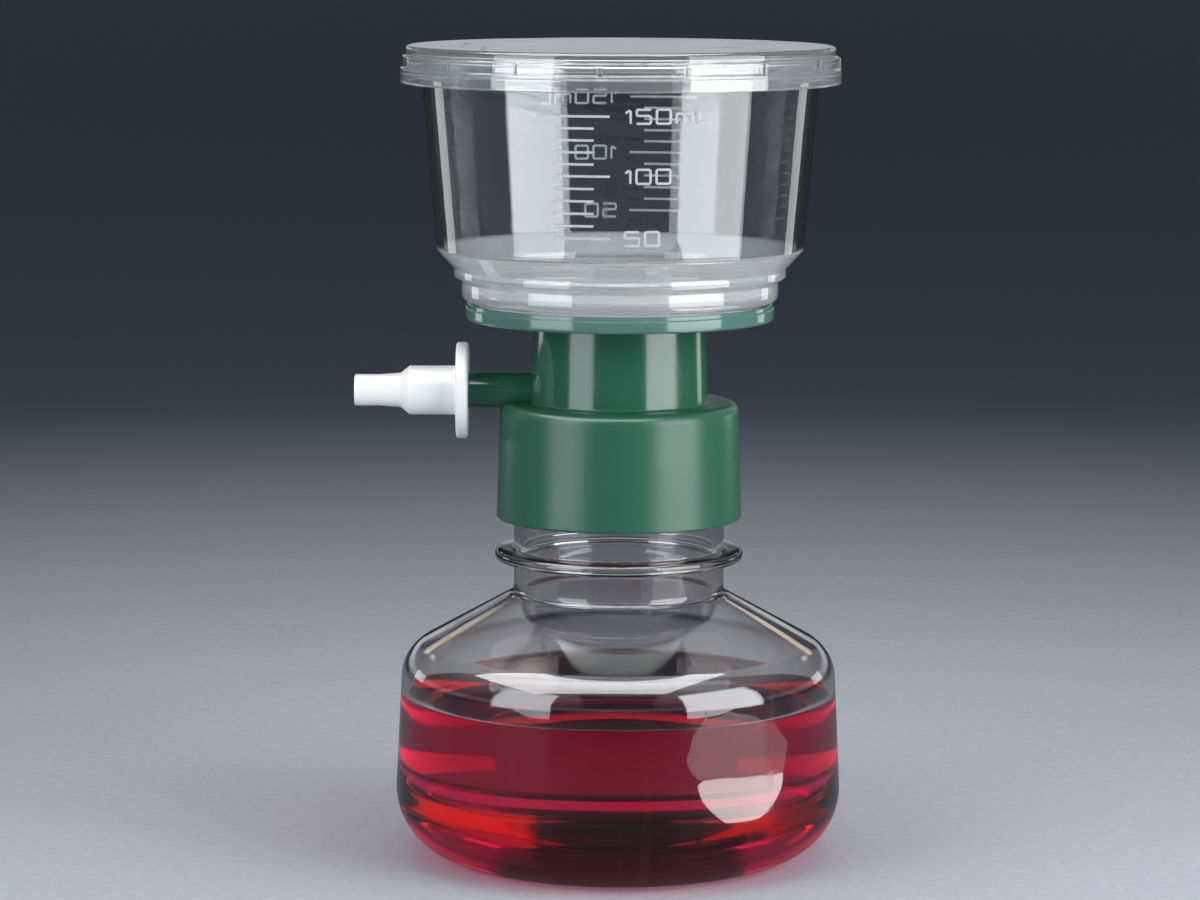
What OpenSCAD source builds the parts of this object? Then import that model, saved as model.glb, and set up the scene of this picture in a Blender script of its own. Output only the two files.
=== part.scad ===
// Disposable vacuum filtration unit: a clear covered chamber above a flat membrane, a green
// filter holder with a hose arm, and a clear receiver bottle that collects the filtrate.
// Millimetres, +Z up, origin on the axis at the level that the receiver stands on.
// The hose arm points along -X.

/* [Receiver bottle] */
// Outside diameter of the receiver
receiver_d = 88.5; // [84:0.1:110]
// Height at which the wall turns into the shoulder
receiver_wall_top = 35.7; // [26:0.1:60]
// Lean of the wall towards the axis, away from upright
receiver_draft = 2.9; // [0:0.1:6]
// Wall thickness of the receiver
receiver_wall = 1.3; // [0.9:0.1:2.5]
// Radius of the corner between the wall and the base
base_corner = 13.7; // [8:0.1:16]
// Width of the flat ring that the receiver stands on
stand_ring_w = 3.4; // [2:0.1:6]
// Rise of the hollow under the base
base_hollow = 3; // [1:0.1:5]
// Radius of the corner between the wall and the shoulder
shoulder_corner = 8.3; // [6:0.1:14]
// Slope of the shoulder above horizontal
shoulder_slope = 29; // [15:0.5:35]

/* [Receiver neck] */
// Outside diameter of the neck under its thread
neck_d = 41.6; // [38:0.1:46]
// Wall thickness of the neck
neck_wall = 1.8; // [1.2:0.1:2.6]
// Length of the neck, from the shoulder to its lip
neck_len = 33; // [28:0.1:40]
// Radius of the blend between the neck and the shoulder
neck_fillet = 2; // [1:0.1:3]
// How far the bead around the neck stands out from it
bead_w = 3.75; // [2:0.05:5]
// Thickness of the bead
bead_t = 2.3; // [1.5:0.1:3.5]
// Gap between the bead and the collar above it
bead_gap = 6.1; // [3:0.1:7]

/* [Neck thread] */
// Rise of the thread in one turn
thread_pitch = 4.2; // [3.6:0.1:5]
// Height of the neck thread above the neck wall
thread_depth = 1.1; // [0.9:0.05:1.5]
// Width of both threads at their root
thread_root_w = 2; // [1.4:0.1:2.2]
// Width of both threads at their crest
thread_crest_w = 0.8; // [0.5:0.1:1.2]
// Length of each thread, in turns
thread_turns = 1.25; // [0.75:0.25:1.5]
// Angle at which both threads start
thread_start = 17; // [1:1:350]
// Gap kept between the two threads, and between each thread and the wall that it faces
thread_clearance = 0.4; // [0.3:0.05:0.5]

/* [Filtrate] */
// Level of the filtrate above the ground
filtrate_level = 32; // [20:0.5:44]
// Gap between the filtrate and the receiver wall
filtrate_gap = 0.1; // [0.05:0.05:0.3]

/* [Collar] */
// Height of the collar
collar_h = 23; // [21:0.1:30]
// Wall thickness of the collar at its top
collar_wall = 1.25; // [1.2:0.05:3]
// Growth of the collar's outside radius from top to bottom
collar_flare = 0.7; // [0:0.1:1.5]
// Thickness of the collar's top
collar_top_t = 3.2; // [2:0.1:5]
// Radius of the collar's outer top edge
collar_edge = 2; // [0.5:0.1:2.5]
// Thickness of the sealing ring on the bottle's lip
gasket_t = 1.5; // [1:0.1:2.5]

/* [Filter holder] */
// Outside diameter of the neck tube where it meets the collar
tube_bottom_d = 35; // [30:0.1:37]
// Outside diameter of the neck tube under the plate
tube_top_d = 34; // [30:0.1:37]
// Wall thickness of the neck tube
tube_wall = 1.8; // [1.2:0.1:2.5]
// Length of the neck tube, from the collar to the plate
tube_len = 16.4; // [14:0.1:30]
// Width of the groove between the chamber's ring and the rim of the plate
plate_groove_w = 1.9; // [1:0.1:3]
// Thickness of the plate where the chamber stands on it
plate_t = 1.2; // [1:0.1:2.5]
// Height of the rim around the plate
plate_rim_h = 3.3; // [2:0.1:3.5]
// Thickness of the rim around the plate
plate_rim_t = 0.8; // [0.6:0.1:1.5]
// Depth of the drain space under the membrane
drain_depth = 0.6; // [0.4:0.1:0.8]
// Number of ribs that carry the membrane
support_ribs = 12; // [8:1:16]
// Distance between the rings that carry the membrane
support_pitch = 4.9; // [4:0.1:7]
// Width of the ribs and rings under the membrane
support_w = 0.9; // [0.6:0.1:1.2]
// Wall thickness of the drip funnel
funnel_wall = 1.2; // [1:0.1:1.6]
// Height of the drip funnel's cone
funnel_h = 9; // [6:0.1:11]
// Length of the spout below the cone
spout_len = 8; // [4:0.1:12]
// Bore of the spout
spout_bore = 3.8; // [2:0.1:3.9]

/* [Hose arm] */
// Outside diameter of the side arm
arm_d = 7.1; // [6:0.1:8]
// Bore of the side arm
arm_bore = 4.4; // [3:0.1:5]
// Height of the side arm's axis above the collar
arm_rise = 2.1; // [1.5:0.1:4]
// Distance from the unit's axis to the free end of the side arm
arm_reach = 41.7; // [38:0.1:55]
// Length of the wadding plug in the side arm
plug_len = 10; // [6:0.5:12]
// Gap between the wadding plug and the side arm's bore
plug_gap = 0.1; // [0.05:0.05:0.2]
// Gap between the side arm and the adapter's socket
socket_gap = 0.08; // [0.05:0.01:0.1]
// Length of the side arm inside the adapter
socket_len = 11.9; // [8:0.1:12]
// Gap between the end of the side arm and the end of the socket
socket_end_gap = 0.3; // [0.2:0.1:1]
// Outside diameter of the adapter's flange
flange_d = 19; // [14:0.1:24]
// Thickness of the adapter's flange
flange_t = 2.4; // [1.5:0.1:3.5]
// Wall thickness of the adapter around the socket
adapter_wall = 1.2; // [1:0.1:2]
// Outside diameter of the hose nozzle at its tip
nozzle_tip_d = 6.2; // [5:0.1:6.6]
// Outside diameter of the hose nozzle at its root
nozzle_root_d = 6.8; // [6:0.1:8]
// Length of the hose nozzle
nozzle_len = 9.1; // [7:0.1:16]
// Length of the straight part of the hose nozzle, at its tip
nozzle_land = 5; // [3:0.1:6]
// Bore of the hose nozzle
nozzle_bore = 3.6; // [2:0.1:3.9]

/* [Upper chamber] */
// Outside diameter at the top of the graduated wall
chamber_top_d = 78.9; // [74:0.1:96]
// Growth of the graduated wall's radius from its foot to its top
chamber_taper = 3.4; // [1:0.1:5]
// Height of the graduated wall
chamber_h = 38.7; // [32:0.1:60]
// Wall thickness of the chamber
chamber_wall = 1.3; // [1:0.1:2]
// Height of the sloping band under the graduated wall
chamber_slope_h = 3.7; // [2:0.1:6]
// Width of the sloping band under the graduated wall
chamber_slope_w = 3.35; // [2:0.05:5]
// Height of the upper step
upper_step_h = 1.5; // [1:0.1:3]
// Width of the chamfer between the two steps
step_chamfer_w = 1.5; // [1:0.1:3]
// Height of the lower step, with its rounded foot
lower_step_h = 3.9; // [3:0.1:6]
// Radius of the lower step's foot
lower_step_round = 2.4; // [1.5:0.1:2.8]
// Height of the chamfer between the two steps
step_chamfer_h = 1.1; // [0.6:0.1:2]
// Width of the ledge between the lower step and the ring that stands in the plate
ledge_w = 3.5; // [3:0.1:5]
// Height of the ring that stands in the plate
spigot_h = 2.2; // [2:0.1:3]
// Thickness of the membrane
membrane_t = 0.2; // [0.1:0.05:0.5]
// Width of the chamber's rim outside the wall
rim_w = 1; // [0.5:0.1:1.5]
// Thickness of the chamber's rim
rim_t = 1.6; // [1:0.1:2.5]

/* [Lid] */
// Wall thickness of the lid
lid_wall = 1.2; // [0.8:0.1:2]
// Gap between the lid and the chamber's rim
lid_gap = 0.5; // [0.3:0.05:0.8]
// Height of the lid's upper band
lid_band_h = 1.8; // [1.5:0.1:6]
// Height of the lid's middle band
lid_mid_h = 2.3; // [1.5:0.1:6]
// Height of the lid's skirt below the middle band
lid_skirt_h = 3.2; // [2:0.1:8]
// Step outwards from each band to the one below it
lid_step = 0.5; // [0.4:0.1:2]
// Growth of the skirt's radius down to its edge
lid_flare = 0.1; // [0:0.1:1]
// Radius of the lid's top edge
lid_edge = 1.2; // [0.5:0.1:1.5]
// Number of ribs around the lid's middle band
lid_ribs = 16; // [8:1:24]
// Width of each rib on the lid
lid_rib_w = 0.9; // [0.6:0.1:1.5]
// How far each rib stands out from the middle band
lid_rib_t = 0.4; // [0.2:0.1:0.4]
// Angle of the first rib on the lid
lid_rib_start = 17; // [0:1:22]

/* [Hidden] */
$fn = 120;
// Straight pieces along each rounded corner, and around one turn of a thread
corner_steps = 8;
turn_steps = 30;
// How far a tool cuts past a surface, and how far added ribs reach into the wall behind them
over = 1;
root = 0.4;
clear = [0.86, 0.91, 0.95, 0.4];
green = [0.11, 0.33, 0.25];

// Receiver
receiver_r = receiver_d / 2;
stand_ring_r = receiver_r - base_corner;
corner_change = base_corner - shoulder_corner;
wall_len = (receiver_wall_top - base_corner - corner_change * sin(receiver_draft)) / cos(receiver_draft);
shoulder_centre_r = stand_ring_r - wall_len * sin(receiver_draft) + corner_change * cos(receiver_draft);
hollow_r = stand_ring_r - stand_ring_w;
hollow_curve = (hollow_r * hollow_r + base_hollow * base_hollow) / (2 * base_hollow);
neck_r = neck_d / 2;
neck_bore_r = neck_r - neck_wall;
neck_foot_z = shoulder_z(neck_r, 0);
neck_top_z = neck_foot_z + neck_len;
fillet_r = neck_r + neck_fillet;
fillet_z = shoulder_z(fillet_r, 0) + neck_fillet / cos(shoulder_slope);

// Collar and threads
collar_under_z = neck_top_z + gasket_t;
collar_top_z = collar_under_z + collar_top_t;
collar_bottom_z = collar_top_z - collar_h;
collar_bore_r = neck_r + thread_depth + thread_clearance;
collar_top_r = collar_bore_r + collar_wall;
collar_bottom_r = collar_top_r + collar_flare;
bead_top_z = collar_bottom_z - bead_gap;
thread_rise = thread_turns * thread_pitch;
thread_mid_w = (thread_root_w + thread_crest_w) / 2;
neck_thread_z = neck_top_z - thread_rise - thread_root_w;
collar_thread_z = neck_thread_z - thread_mid_w - thread_clearance;

// Chamber's radii, from its top down to the ring that stands in the plate
chamber_top_r = chamber_top_d / 2;
rim_r = chamber_top_r + rim_w;
chamber_foot_r = chamber_top_r - chamber_taper;
upper_step_r = chamber_foot_r - chamber_slope_w;
lower_step_r = upper_step_r - step_chamfer_w;
spigot_r = lower_step_r - ledge_w;
spigot_bore_r = spigot_r - chamber_wall;

// Filter holder
tube_bottom_r = tube_bottom_d / 2;
tube_top_r = tube_top_d / 2;
tube_bore_r = min(tube_bottom_r, tube_top_r) - tube_wall;
plate_z = collar_top_z + tube_len;
land_z = plate_z + plate_t;
plate_r = spigot_r + plate_groove_w + plate_rim_t;
spout_bore_r = spout_bore / 2;
spout_top_z = plate_z - funnel_h;

// Hose arm
arm_z = collar_top_z + arm_rise;
arm_r = arm_d / 2;
socket_r = arm_r + socket_gap;
flange_x = arm_reach - socket_len;
socket_end_x = arm_reach + socket_end_gap;
adapter_end_x = socket_end_x + adapter_wall;
adapter_r = socket_r + adapter_wall;
nozzle_end_x = adapter_end_x + nozzle_len;

// Chamber's levels
spigot_z = land_z + membrane_t;
lower_step_z = spigot_z + spigot_h;
chamfer_z = lower_step_z + lower_step_h;
upper_step_z = chamfer_z + step_chamfer_h;
slope_z = upper_step_z + upper_step_h;
foot_z = slope_z + chamber_slope_h;
chamber_top_z = foot_z + chamber_h;

// Lid
lid_band_r = rim_r + lid_gap + lid_wall;
lid_mid_r = lid_band_r + lid_step;
lid_skirt_r = lid_mid_r + lid_step;
lid_top_z = chamber_top_z + lid_wall;
lid_mid_z = lid_top_z - lid_band_h;
lid_skirt_z = lid_mid_z - lid_mid_h;
lid_bottom_z = lid_skirt_z - lid_skirt_h;

// Points along an arc, from angle a0 to angle a1
function arc(cx, cz, r, a0, a1) =
    [for (i = [0 : corner_steps]) let (a = a0 + (a1 - a0) * i / corner_steps)
        [cx + r * cos(a), cz + r * sin(a)]];

function reversed(path) = [for (i = [len(path) - 1 : -1 : 0]) path[i]];

function left_of(v) = [-v.y, v.x] / norm(v);

// Where the end of a path goes when a wall is added on the side that n points to: it stays at
// its own height on an upright wall, and at its own radius on a level one
function end_shift(n, wall) = abs(n.x) > abs(n.y) ? [wall / n.x, 0] : [0, wall / n.y];

// The same path, moved to its left by a wall thickness, with its corners mitred
function inset(path, wall) =
    let (last = len(path) - 1)
    concat(
        [path[0] + end_shift(left_of(path[1] - path[0]), wall)],
        [for (i = [1 : last - 1])
            let (n = left_of(path[i] - path[i - 1]), m = left_of(path[i + 1] - path[i]))
            path[i] + wall * (n + m) / (1 + n * m)],
        [path[last] + end_shift(left_of(path[last] - path[last - 1]), wall)]);

// Height of the receiver's shoulder at radius r, a distance t inside its outer surface
function shoulder_z(r, t) =
    let (bend = shoulder_corner - t)
    receiver_wall_top + bend * cos(shoulder_slope)
        + (shoulder_centre_r + bend * sin(shoulder_slope) - r) * tan(shoulder_slope);

// Outline of the receiver's body, a distance t inside its outer surface, from the middle of
// its base to the start of its sloping shoulder
function receiver_outline(t) =
    let (bend = hollow_curve + t, centre_z = base_hollow - hollow_curve)
    concat(
        arc(0, centre_z, bend, 90, asin((t - centre_z) / bend)),
        arc(stand_ring_r, base_corner, base_corner - t, -90, receiver_draft),
        arc(shoulder_centre_r, receiver_wall_top, shoulder_corner - t,
            receiver_draft, 90 - shoulder_slope));

// A closed ring of revolution from r0 to r1, with round outer edges
module round_ring(r0, r1, z, h) {
    edge = h / 2;
    rotate_extrude()
        polygon(concat([[r0, z]], arc(r1 - edge, z + edge, edge, -90, 90), [[r0, z + h]]));
}

// One cross-section of a thread at angle a; depth is negative where it faces inwards
function thread_section(wall_r, depth, z, a) =
    let (turn = a / 360, ramp = min(1, 12 * turn, 12 * (thread_turns - turn)))
    let (root_r = wall_r - sign(depth) * root, tip_r = wall_r + depth * (ramp - 0.1) / 0.9)
    let (mid_z = z + thread_pitch * turn)
    [for (p = [[root_r, -thread_root_w / 2], [tip_r, -thread_crest_w / 2],
               [tip_r, thread_crest_w / 2], [root_r, thread_root_w / 2]])
        [p.x * cos(a), p.x * sin(a), mid_z + p.y]];

// A single thread on a round wall of radius wall_r
module thread(wall_r, depth, z) {
    steps = ceil(turn_steps * thread_turns);
    sections = [for (i = [0 : steps]) thread_section(wall_r, depth, z, 360 * thread_turns * i / steps)];
    side = [for (i = [0 : steps - 1], k = [0 : 3])
        let (a = 4 * i + k, b = 4 * i + (k + 1) % 4)
        each [[a, b, b + 4], [a, b + 4, a + 4]]];
    ends = [[0, 2, 1], [0, 3, 2], [4 * steps, 4 * steps + 1, 4 * steps + 2],
            [4 * steps, 4 * steps + 2, 4 * steps + 3]];
    faces = concat(side, ends);
    outward = depth > 0 ? faces : [for (f = faces) reversed(f)];
    rotate(thread_start)
        polyhedron([for (s = sections) each s], outward);
}

module receiver_bottle() {
    outer = concat(
        receiver_outline(0),
        arc(fillet_r, fillet_z, neck_fillet, 270 - shoulder_slope, 180),
        [[neck_r, neck_top_z]]);
    inner = concat(
        receiver_outline(receiver_wall),
        [[neck_bore_r, shoulder_z(neck_bore_r, receiver_wall)], [neck_bore_r, neck_top_z]]);
    color(clear) {
        rotate_extrude()
            polygon(concat(outer, reversed(inner)));
        round_ring(neck_r - root, neck_r + bead_w, bead_top_z - bead_t, bead_t);
        thread(neck_r, thread_depth, neck_thread_z);
    }
}

module filtrate() {
    gap = receiver_wall + filtrate_gap;
    color([0.55, 0.03, 0.15])
        rotate_extrude()
            intersection() {
                polygon(concat(receiver_outline(gap), [[0, shoulder_z(0, gap)]]));
                square([receiver_r, filtrate_level]);
            }
}

module neck_gasket() {
    color([0.9, 0.9, 0.88])
        translate([0, 0, neck_top_z])
            difference() {
                cylinder(h = gasket_t, r = collar_bore_r - thread_clearance);
                translate([0, 0, -over])
                    cylinder(h = gasket_t + 2 * over, r = neck_bore_r);
            }
}

// Section of the collar, the neck tube, the plate with its rim, and the drip funnel
module holder_section() {
    polygon(concat(
        [[collar_bore_r, collar_bottom_z], [collar_bottom_r, collar_bottom_z]],
        arc(collar_top_r - collar_edge, collar_top_z - collar_edge, collar_edge, 0, 90),
        [[tube_bore_r, collar_top_z], [tube_bore_r, collar_under_z],
         [collar_bore_r, collar_under_z]]));
    polygon([[tube_bore_r, collar_top_z - collar_edge], [tube_bottom_r, collar_top_z - collar_edge],
             [tube_bottom_r, collar_top_z], [tube_top_r, plate_z], [tube_top_r, plate_z + plate_t / 2],
             [tube_bore_r, plate_z + plate_t / 2]]);
    translate([tube_bore_r, plate_z])
        square([plate_r - tube_bore_r, plate_t - drain_depth]);
    translate([spigot_bore_r, plate_z])
        square([spigot_r + over / 2 - spigot_bore_r, plate_t]);
    translate([plate_r - plate_rim_t, plate_z])
        square([plate_rim_t, plate_rim_h]);
    polygon([[spout_bore_r, spout_top_z - spout_len], [spout_bore_r + funnel_wall, spout_top_z - spout_len],
             [spout_bore_r + funnel_wall, spout_top_z], [tube_bore_r + root, plate_z],
             [tube_bore_r - funnel_wall, plate_z], [spout_bore_r, spout_top_z + funnel_wall / 2]]);
    for (r = [support_pitch : support_pitch : spigot_bore_r - support_pitch / 2])
        translate([r - support_w / 2, plate_z])
            square([support_w, plate_t]);
}

module membrane_ribs() {
    cylinder(h = plate_t, r = 2 * support_w);
    for (i = [0 : support_ribs - 1])
        rotate(360 * i / support_ribs)
            translate([0, -support_w / 2, 0])
                cube([spigot_bore_r + root, support_w, plate_t]);
}

// A round bar along -X at the height of the side arm, from x0 to x1
module arm_bar(r, x0, x1) {
    translate([-x0, 0, arm_z])
        rotate([0, -90, 0])
            cylinder(h = x1 - x0, r = r);
}

module filter_holder() {
    color(green) {
        difference() {
            union() {
                rotate_extrude()
                    holder_section();
                arm_bar(arm_r, tube_bottom_r - tube_wall / 2, arm_reach);
            }
            arm_bar(arm_bore / 2, tube_bore_r - over, arm_reach + over);
        }
        translate([0, 0, plate_z])
            membrane_ribs();
        thread(collar_bore_r, -thread_depth, collar_thread_z);
    }
}

module membrane() {
    color("white")
        translate([0, 0, land_z])
            cylinder(h = membrane_t, r = spigot_r - chamber_wall / 2);
}

module upper_chamber() {
    foot_arc_r = lower_step_r - lower_step_round;
    outer = concat(
        [[spigot_r, spigot_z], [spigot_r, lower_step_z]],
        arc(foot_arc_r, lower_step_z + lower_step_round, lower_step_round, -90, 0),
        [[lower_step_r, chamfer_z], [upper_step_r, upper_step_z], [upper_step_r, slope_z],
         [chamber_foot_r, foot_z], [chamber_top_r, chamber_top_z]]);
    color(clear)
        rotate_extrude() {
            polygon(concat(outer, reversed(inset(outer, chamber_wall))));
            translate([chamber_top_r - chamber_wall / 2, chamber_top_z - rim_t])
                square([rim_r - chamber_top_r + chamber_wall / 2, rim_t]);
        }
}

module lid() {
    side = [[lid_skirt_r + lid_flare, lid_bottom_z], [lid_skirt_r, lid_skirt_z - lid_step / 2],
            [lid_mid_r, lid_skirt_z], [lid_mid_r, lid_mid_z - lid_step / 2],
            [lid_band_r, lid_mid_z]];
    outer = concat(
        side,
        arc(lid_band_r - lid_edge, lid_top_z - lid_edge, lid_edge, 0, 90),
        [[0, lid_top_z]]);
    inner = inset(concat(side, [[lid_band_r, lid_top_z], [0, lid_top_z]]), lid_wall);
    rib_foot_z = lid_skirt_z - lid_wall / 2;
    color(clear) {
        rotate_extrude()
            polygon(concat(outer, reversed(inner)));
        for (i = [0 : lid_ribs - 1])
            rotate(lid_rib_start + 360 * i / lid_ribs)
                translate([lid_mid_r - lid_wall / 2, -lid_rib_w / 2, rib_foot_z])
                    cube([lid_wall / 2 + lid_rib_t, lid_rib_w, lid_mid_z - lid_step / 2 - rib_foot_z]);
    }
}

module side_arm_plug() {
    color([0.95, 0.94, 0.9])
        arm_bar(arm_bore / 2 - plug_gap, flange_x - plug_len / 2, flange_x + plug_len / 2);
}

module tubing_adapter() {
    edge = flange_t / 4;
    body_x = flange_x + flange_t;
    color([0.95, 0.95, 0.95])
        translate([0, 0, arm_z])
            rotate([0, -90, 0])
                rotate_extrude()
                    polygon(concat(
                        [[socket_r, flange_x]],
                        arc(flange_d / 2 - edge, flange_x + edge, edge, -90, 0),
                        arc(flange_d / 2 - edge, body_x - edge, edge, 0, 90),
                        [[adapter_r, body_x], [adapter_r, socket_end_x - adapter_wall / 2],
                         [nozzle_root_d / 2, adapter_end_x],
                         [nozzle_tip_d / 2, nozzle_end_x - nozzle_land],
                         [nozzle_tip_d / 2, nozzle_end_x], [nozzle_bore / 2, nozzle_end_x],
                         [nozzle_bore / 2, socket_end_x], [socket_r, socket_end_x]]));
}

receiver_bottle();
filtrate();
neck_gasket();
filter_holder();
membrane();
upper_chamber();
lid();
side_arm_plug();
tubing_adapter();
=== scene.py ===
# %% [markdown]
# # A vacuum filtration unit
# The unit is thrown away after one use, so it is a handful of thin mouldings. A clear covered
# chamber stands in a green filter holder, the holder screws onto a clear receiver bottle, and
# a white adapter on the side arm takes the vacuum hose. The CAD part gives every size and
# place. This lesson builds the looks around it: nearly all of it is turned work, so one spin
# tree does most of the shaping, and the rest of the effort goes into clear plastic and liquid.

import math

import bmesh
import bpy
from mathutils import Matrix, Vector


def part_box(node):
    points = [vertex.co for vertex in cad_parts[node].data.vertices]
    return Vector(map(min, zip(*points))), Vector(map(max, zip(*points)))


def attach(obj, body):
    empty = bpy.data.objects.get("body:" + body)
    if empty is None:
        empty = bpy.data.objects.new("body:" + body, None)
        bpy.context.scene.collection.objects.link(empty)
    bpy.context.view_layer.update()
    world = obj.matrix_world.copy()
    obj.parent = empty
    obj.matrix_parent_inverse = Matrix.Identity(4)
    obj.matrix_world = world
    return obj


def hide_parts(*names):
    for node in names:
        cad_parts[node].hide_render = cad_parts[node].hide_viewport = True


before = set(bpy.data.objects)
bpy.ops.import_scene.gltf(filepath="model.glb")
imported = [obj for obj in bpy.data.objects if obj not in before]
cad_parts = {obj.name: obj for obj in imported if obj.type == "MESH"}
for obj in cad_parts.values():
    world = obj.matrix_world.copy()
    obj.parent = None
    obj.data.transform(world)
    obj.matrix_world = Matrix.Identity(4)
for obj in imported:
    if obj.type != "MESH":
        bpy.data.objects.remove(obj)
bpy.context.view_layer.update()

# %% [markdown]
# The frame is in metres, but wall thicknesses and fillets are easier to think of in
# millimetres, so outlines are drawn in millimetres and scaled once, when a mesh is made.
# The overall heights and radii come from the boxes of the CAD nodes. The finer sizes, such as
# wall thicknesses and slopes, are the moulding's own and are named where they are first used.

# %% Heights and radii from the CAD nodes
MM = 0.001


def corners(node):
    low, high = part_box(node)
    return low / MM, high / MM


bottle_low, bottle_high = corners("receiver_bottle")
liquid_high = corners("filtrate")[1]
gasket_high = corners("neck_gasket")[1]
holder_low, holder_high = corners("filter_holder")
cup_low, cup_high = corners("upper_chamber")
cover_low, cover_high = corners("lid")
adapter_low, adapter_high = corners("tubing_adapter")
for label, low, high in (("bottle", bottle_low, bottle_high), ("chamber", cup_low, cup_high)):
    print(label, "from", [round(v, 2) for v in low], "to", [round(v, 2) for v in high], "mm")

# %% [markdown]
# An outline is a list of points, each a radius and a height. Moulded plastic has no knife
# edges: each corner has a small radius, and that radius is what catches the light. A corner
# may be written as three numbers, and the third is its radius. Beside each rounded corner a
# support point keeps the long flat wall from being shaded as if it were bent.

# %% Outlines with eased corners
SUPPORT, MOST_OF_SIDE, LEAST_BEND, ARC_STEP = 0.25, 0.45, 0.05, 11.0


def arc(centre_r, centre_z, radius, start, end, steps):
    """Points along an arc, with its angles in degrees."""
    turns = [math.radians(start + (end - start) * i / steps) for i in range(steps + 1)]
    return [(centre_r + radius * math.cos(a), centre_z + radius * math.sin(a)) for a in turns]


def eased(points, radius=0.0):
    """The same outline with each inner corner rounded. A corner's own third number wins."""
    made = [tuple(points[0][:2])]
    for before, here, after in zip(points, points[1:], points[2:]):
        corner = Vector(here[:2])
        back, ahead = Vector(before[:2]) - corner, Vector(after[:2]) - corner
        size = here[2] if len(here) > 2 else radius
        bend = math.pi - back.angle(ahead, math.pi)
        if size <= 0 or bend < LEAST_BEND:
            made.append(tuple(corner))
            continue
        room = MOST_OF_SIDE * min(back.length, ahead.length)
        reach = min(size * math.tan(bend / 2), room)
        true_radius = reach / math.tan(bend / 2)
        centre = corner + (back.normalized() + ahead.normalized()).normalized() * (
            true_radius / math.cos(bend / 2)
        )
        steps = max(3, math.ceil(math.degrees(bend) / ARC_STEP))
        first, last = corner + back.normalized() * reach, corner + ahead.normalized() * reach
        if back.length > 4 * (reach + SUPPORT):
            made.append(tuple(first + back.normalized() * SUPPORT))
        turn = (last - centre).angle_signed(first - centre)
        for i in range(steps + 1):
            arm = first - centre
            arm.rotate(Matrix.Rotation(turn * i / steps, 2))
            made.append(tuple(centre + arm))
        if ahead.length > 4 * (reach + SUPPORT):
            made.append(tuple(last + ahead.normalized() * SUPPORT))
    made.append(tuple(points[-1][:2]))
    return made


print("An eased square corner takes", len(eased([(1, 0), (1, 5, 1), (6, 5)])), "points")

# %% [markdown]
# Geometry Nodes trees are easier to read when one line makes one node. These few helpers make
# a tree with named inputs, add a node or a sum, and plug a value or another node's output into
# a socket. The same helpers serve materials and the world, whose nodes work alike.

# %% Helpers for node trees
KINDS = {
    float: "NodeSocketFloat",
    int: "NodeSocketInt",
    Vector: "NodeSocketVector",
    "material": "NodeSocketMaterial",
}


def new_tree(name, **inputs):
    """A geometry tree with one geometry in, one out, and an input for each named value."""
    tree = bpy.data.node_groups.new(name, "GeometryNodeTree")
    tree.interface.new_socket("Geometry", in_out="INPUT", socket_type="NodeSocketGeometry")
    for label, value in inputs.items():
        kind = KINDS["material"] if value is None else KINDS[type(value)]
        socket = tree.interface.new_socket(label, in_out="INPUT", socket_type=kind)
        if value is not None:
            socket.default_value = value
    tree.interface.new_socket("Geometry", in_out="OUTPUT", socket_type="NodeSocketGeometry")
    return tree, tree.nodes.new("NodeGroupInput").outputs


def plug(tree, value, socket):
    if isinstance(value, bpy.types.NodeSocket):
        tree.links.new(value, socket)
    elif value is not None:
        socket.default_value = value


def add(tree, kind, *values, **settings):
    """A node with its first inputs filled in order and its settings set by name."""
    node = tree.nodes.new(kind)
    for key, value in settings.items():
        setattr(node, key, value)
    for value, socket in zip(values, node.inputs):
        plug(tree, value, socket)
    return node


def maths(tree, operation, *values):
    return add(tree, "ShaderNodeMath", *values, operation=operation).outputs[0]


def finish_tree(tree, geometry, material):
    """Every tree ends in real geometry with its material set."""
    real = add(tree, "GeometryNodeRealizeInstances", geometry).outputs[0]
    done = add(tree, "GeometryNodeSetMaterial", real)
    plug(tree, material, done.inputs["Material"])
    leave = tree.nodes.new("NodeGroupOutput")
    tree.links.new(done.outputs[0], leave.inputs[0])


print("A tree's inputs can be", ", ".join(sorted(kind[10:] for kind in KINDS.values())))

# %% [markdown]
# A tree works on an outline. grown() puts it there as a modifier, sets its inputs by their
# identifiers, and turns the result into a plain mesh, so nothing live is left on the piece. A
# closed mesh can come out inside out, so its volume is measured and it is turned if that is
# negative. Smooth shading with crisp edges above an angle suits mouldings.

# %% From a tree to a plain mesh
CRISP_ABOVE = 32


def plain_mesh(piece):
    """The piece's evaluated shape, as its own mesh, with no modifier left on it."""
    bpy.context.view_layer.update()
    seen = piece.evaluated_get(bpy.context.evaluated_depsgraph_get())
    piece.data = bpy.data.meshes.new_from_object(seen)
    piece.modifiers.clear()
    return piece


def face_outwards(piece):
    """Turns a closed mesh the right way round and returns how many edges are open."""
    work = bmesh.new()
    work.from_mesh(piece.data)
    if work.calc_volume(signed=True) < 0:
        bmesh.ops.reverse_faces(work, faces=work.faces[:])
    open_edges = sum(not edge.is_manifold for edge in work.edges)
    work.to_mesh(piece.data)
    work.free()
    return open_edges


def shade(piece, sharp_above=CRISP_ABOVE):
    """Smooth faces, with the edges sharper than that angle kept crisp."""
    piece.data.shade_smooth()
    piece.data.set_sharp_from_angle(angle=math.radians(sharp_above))
    return piece


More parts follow.
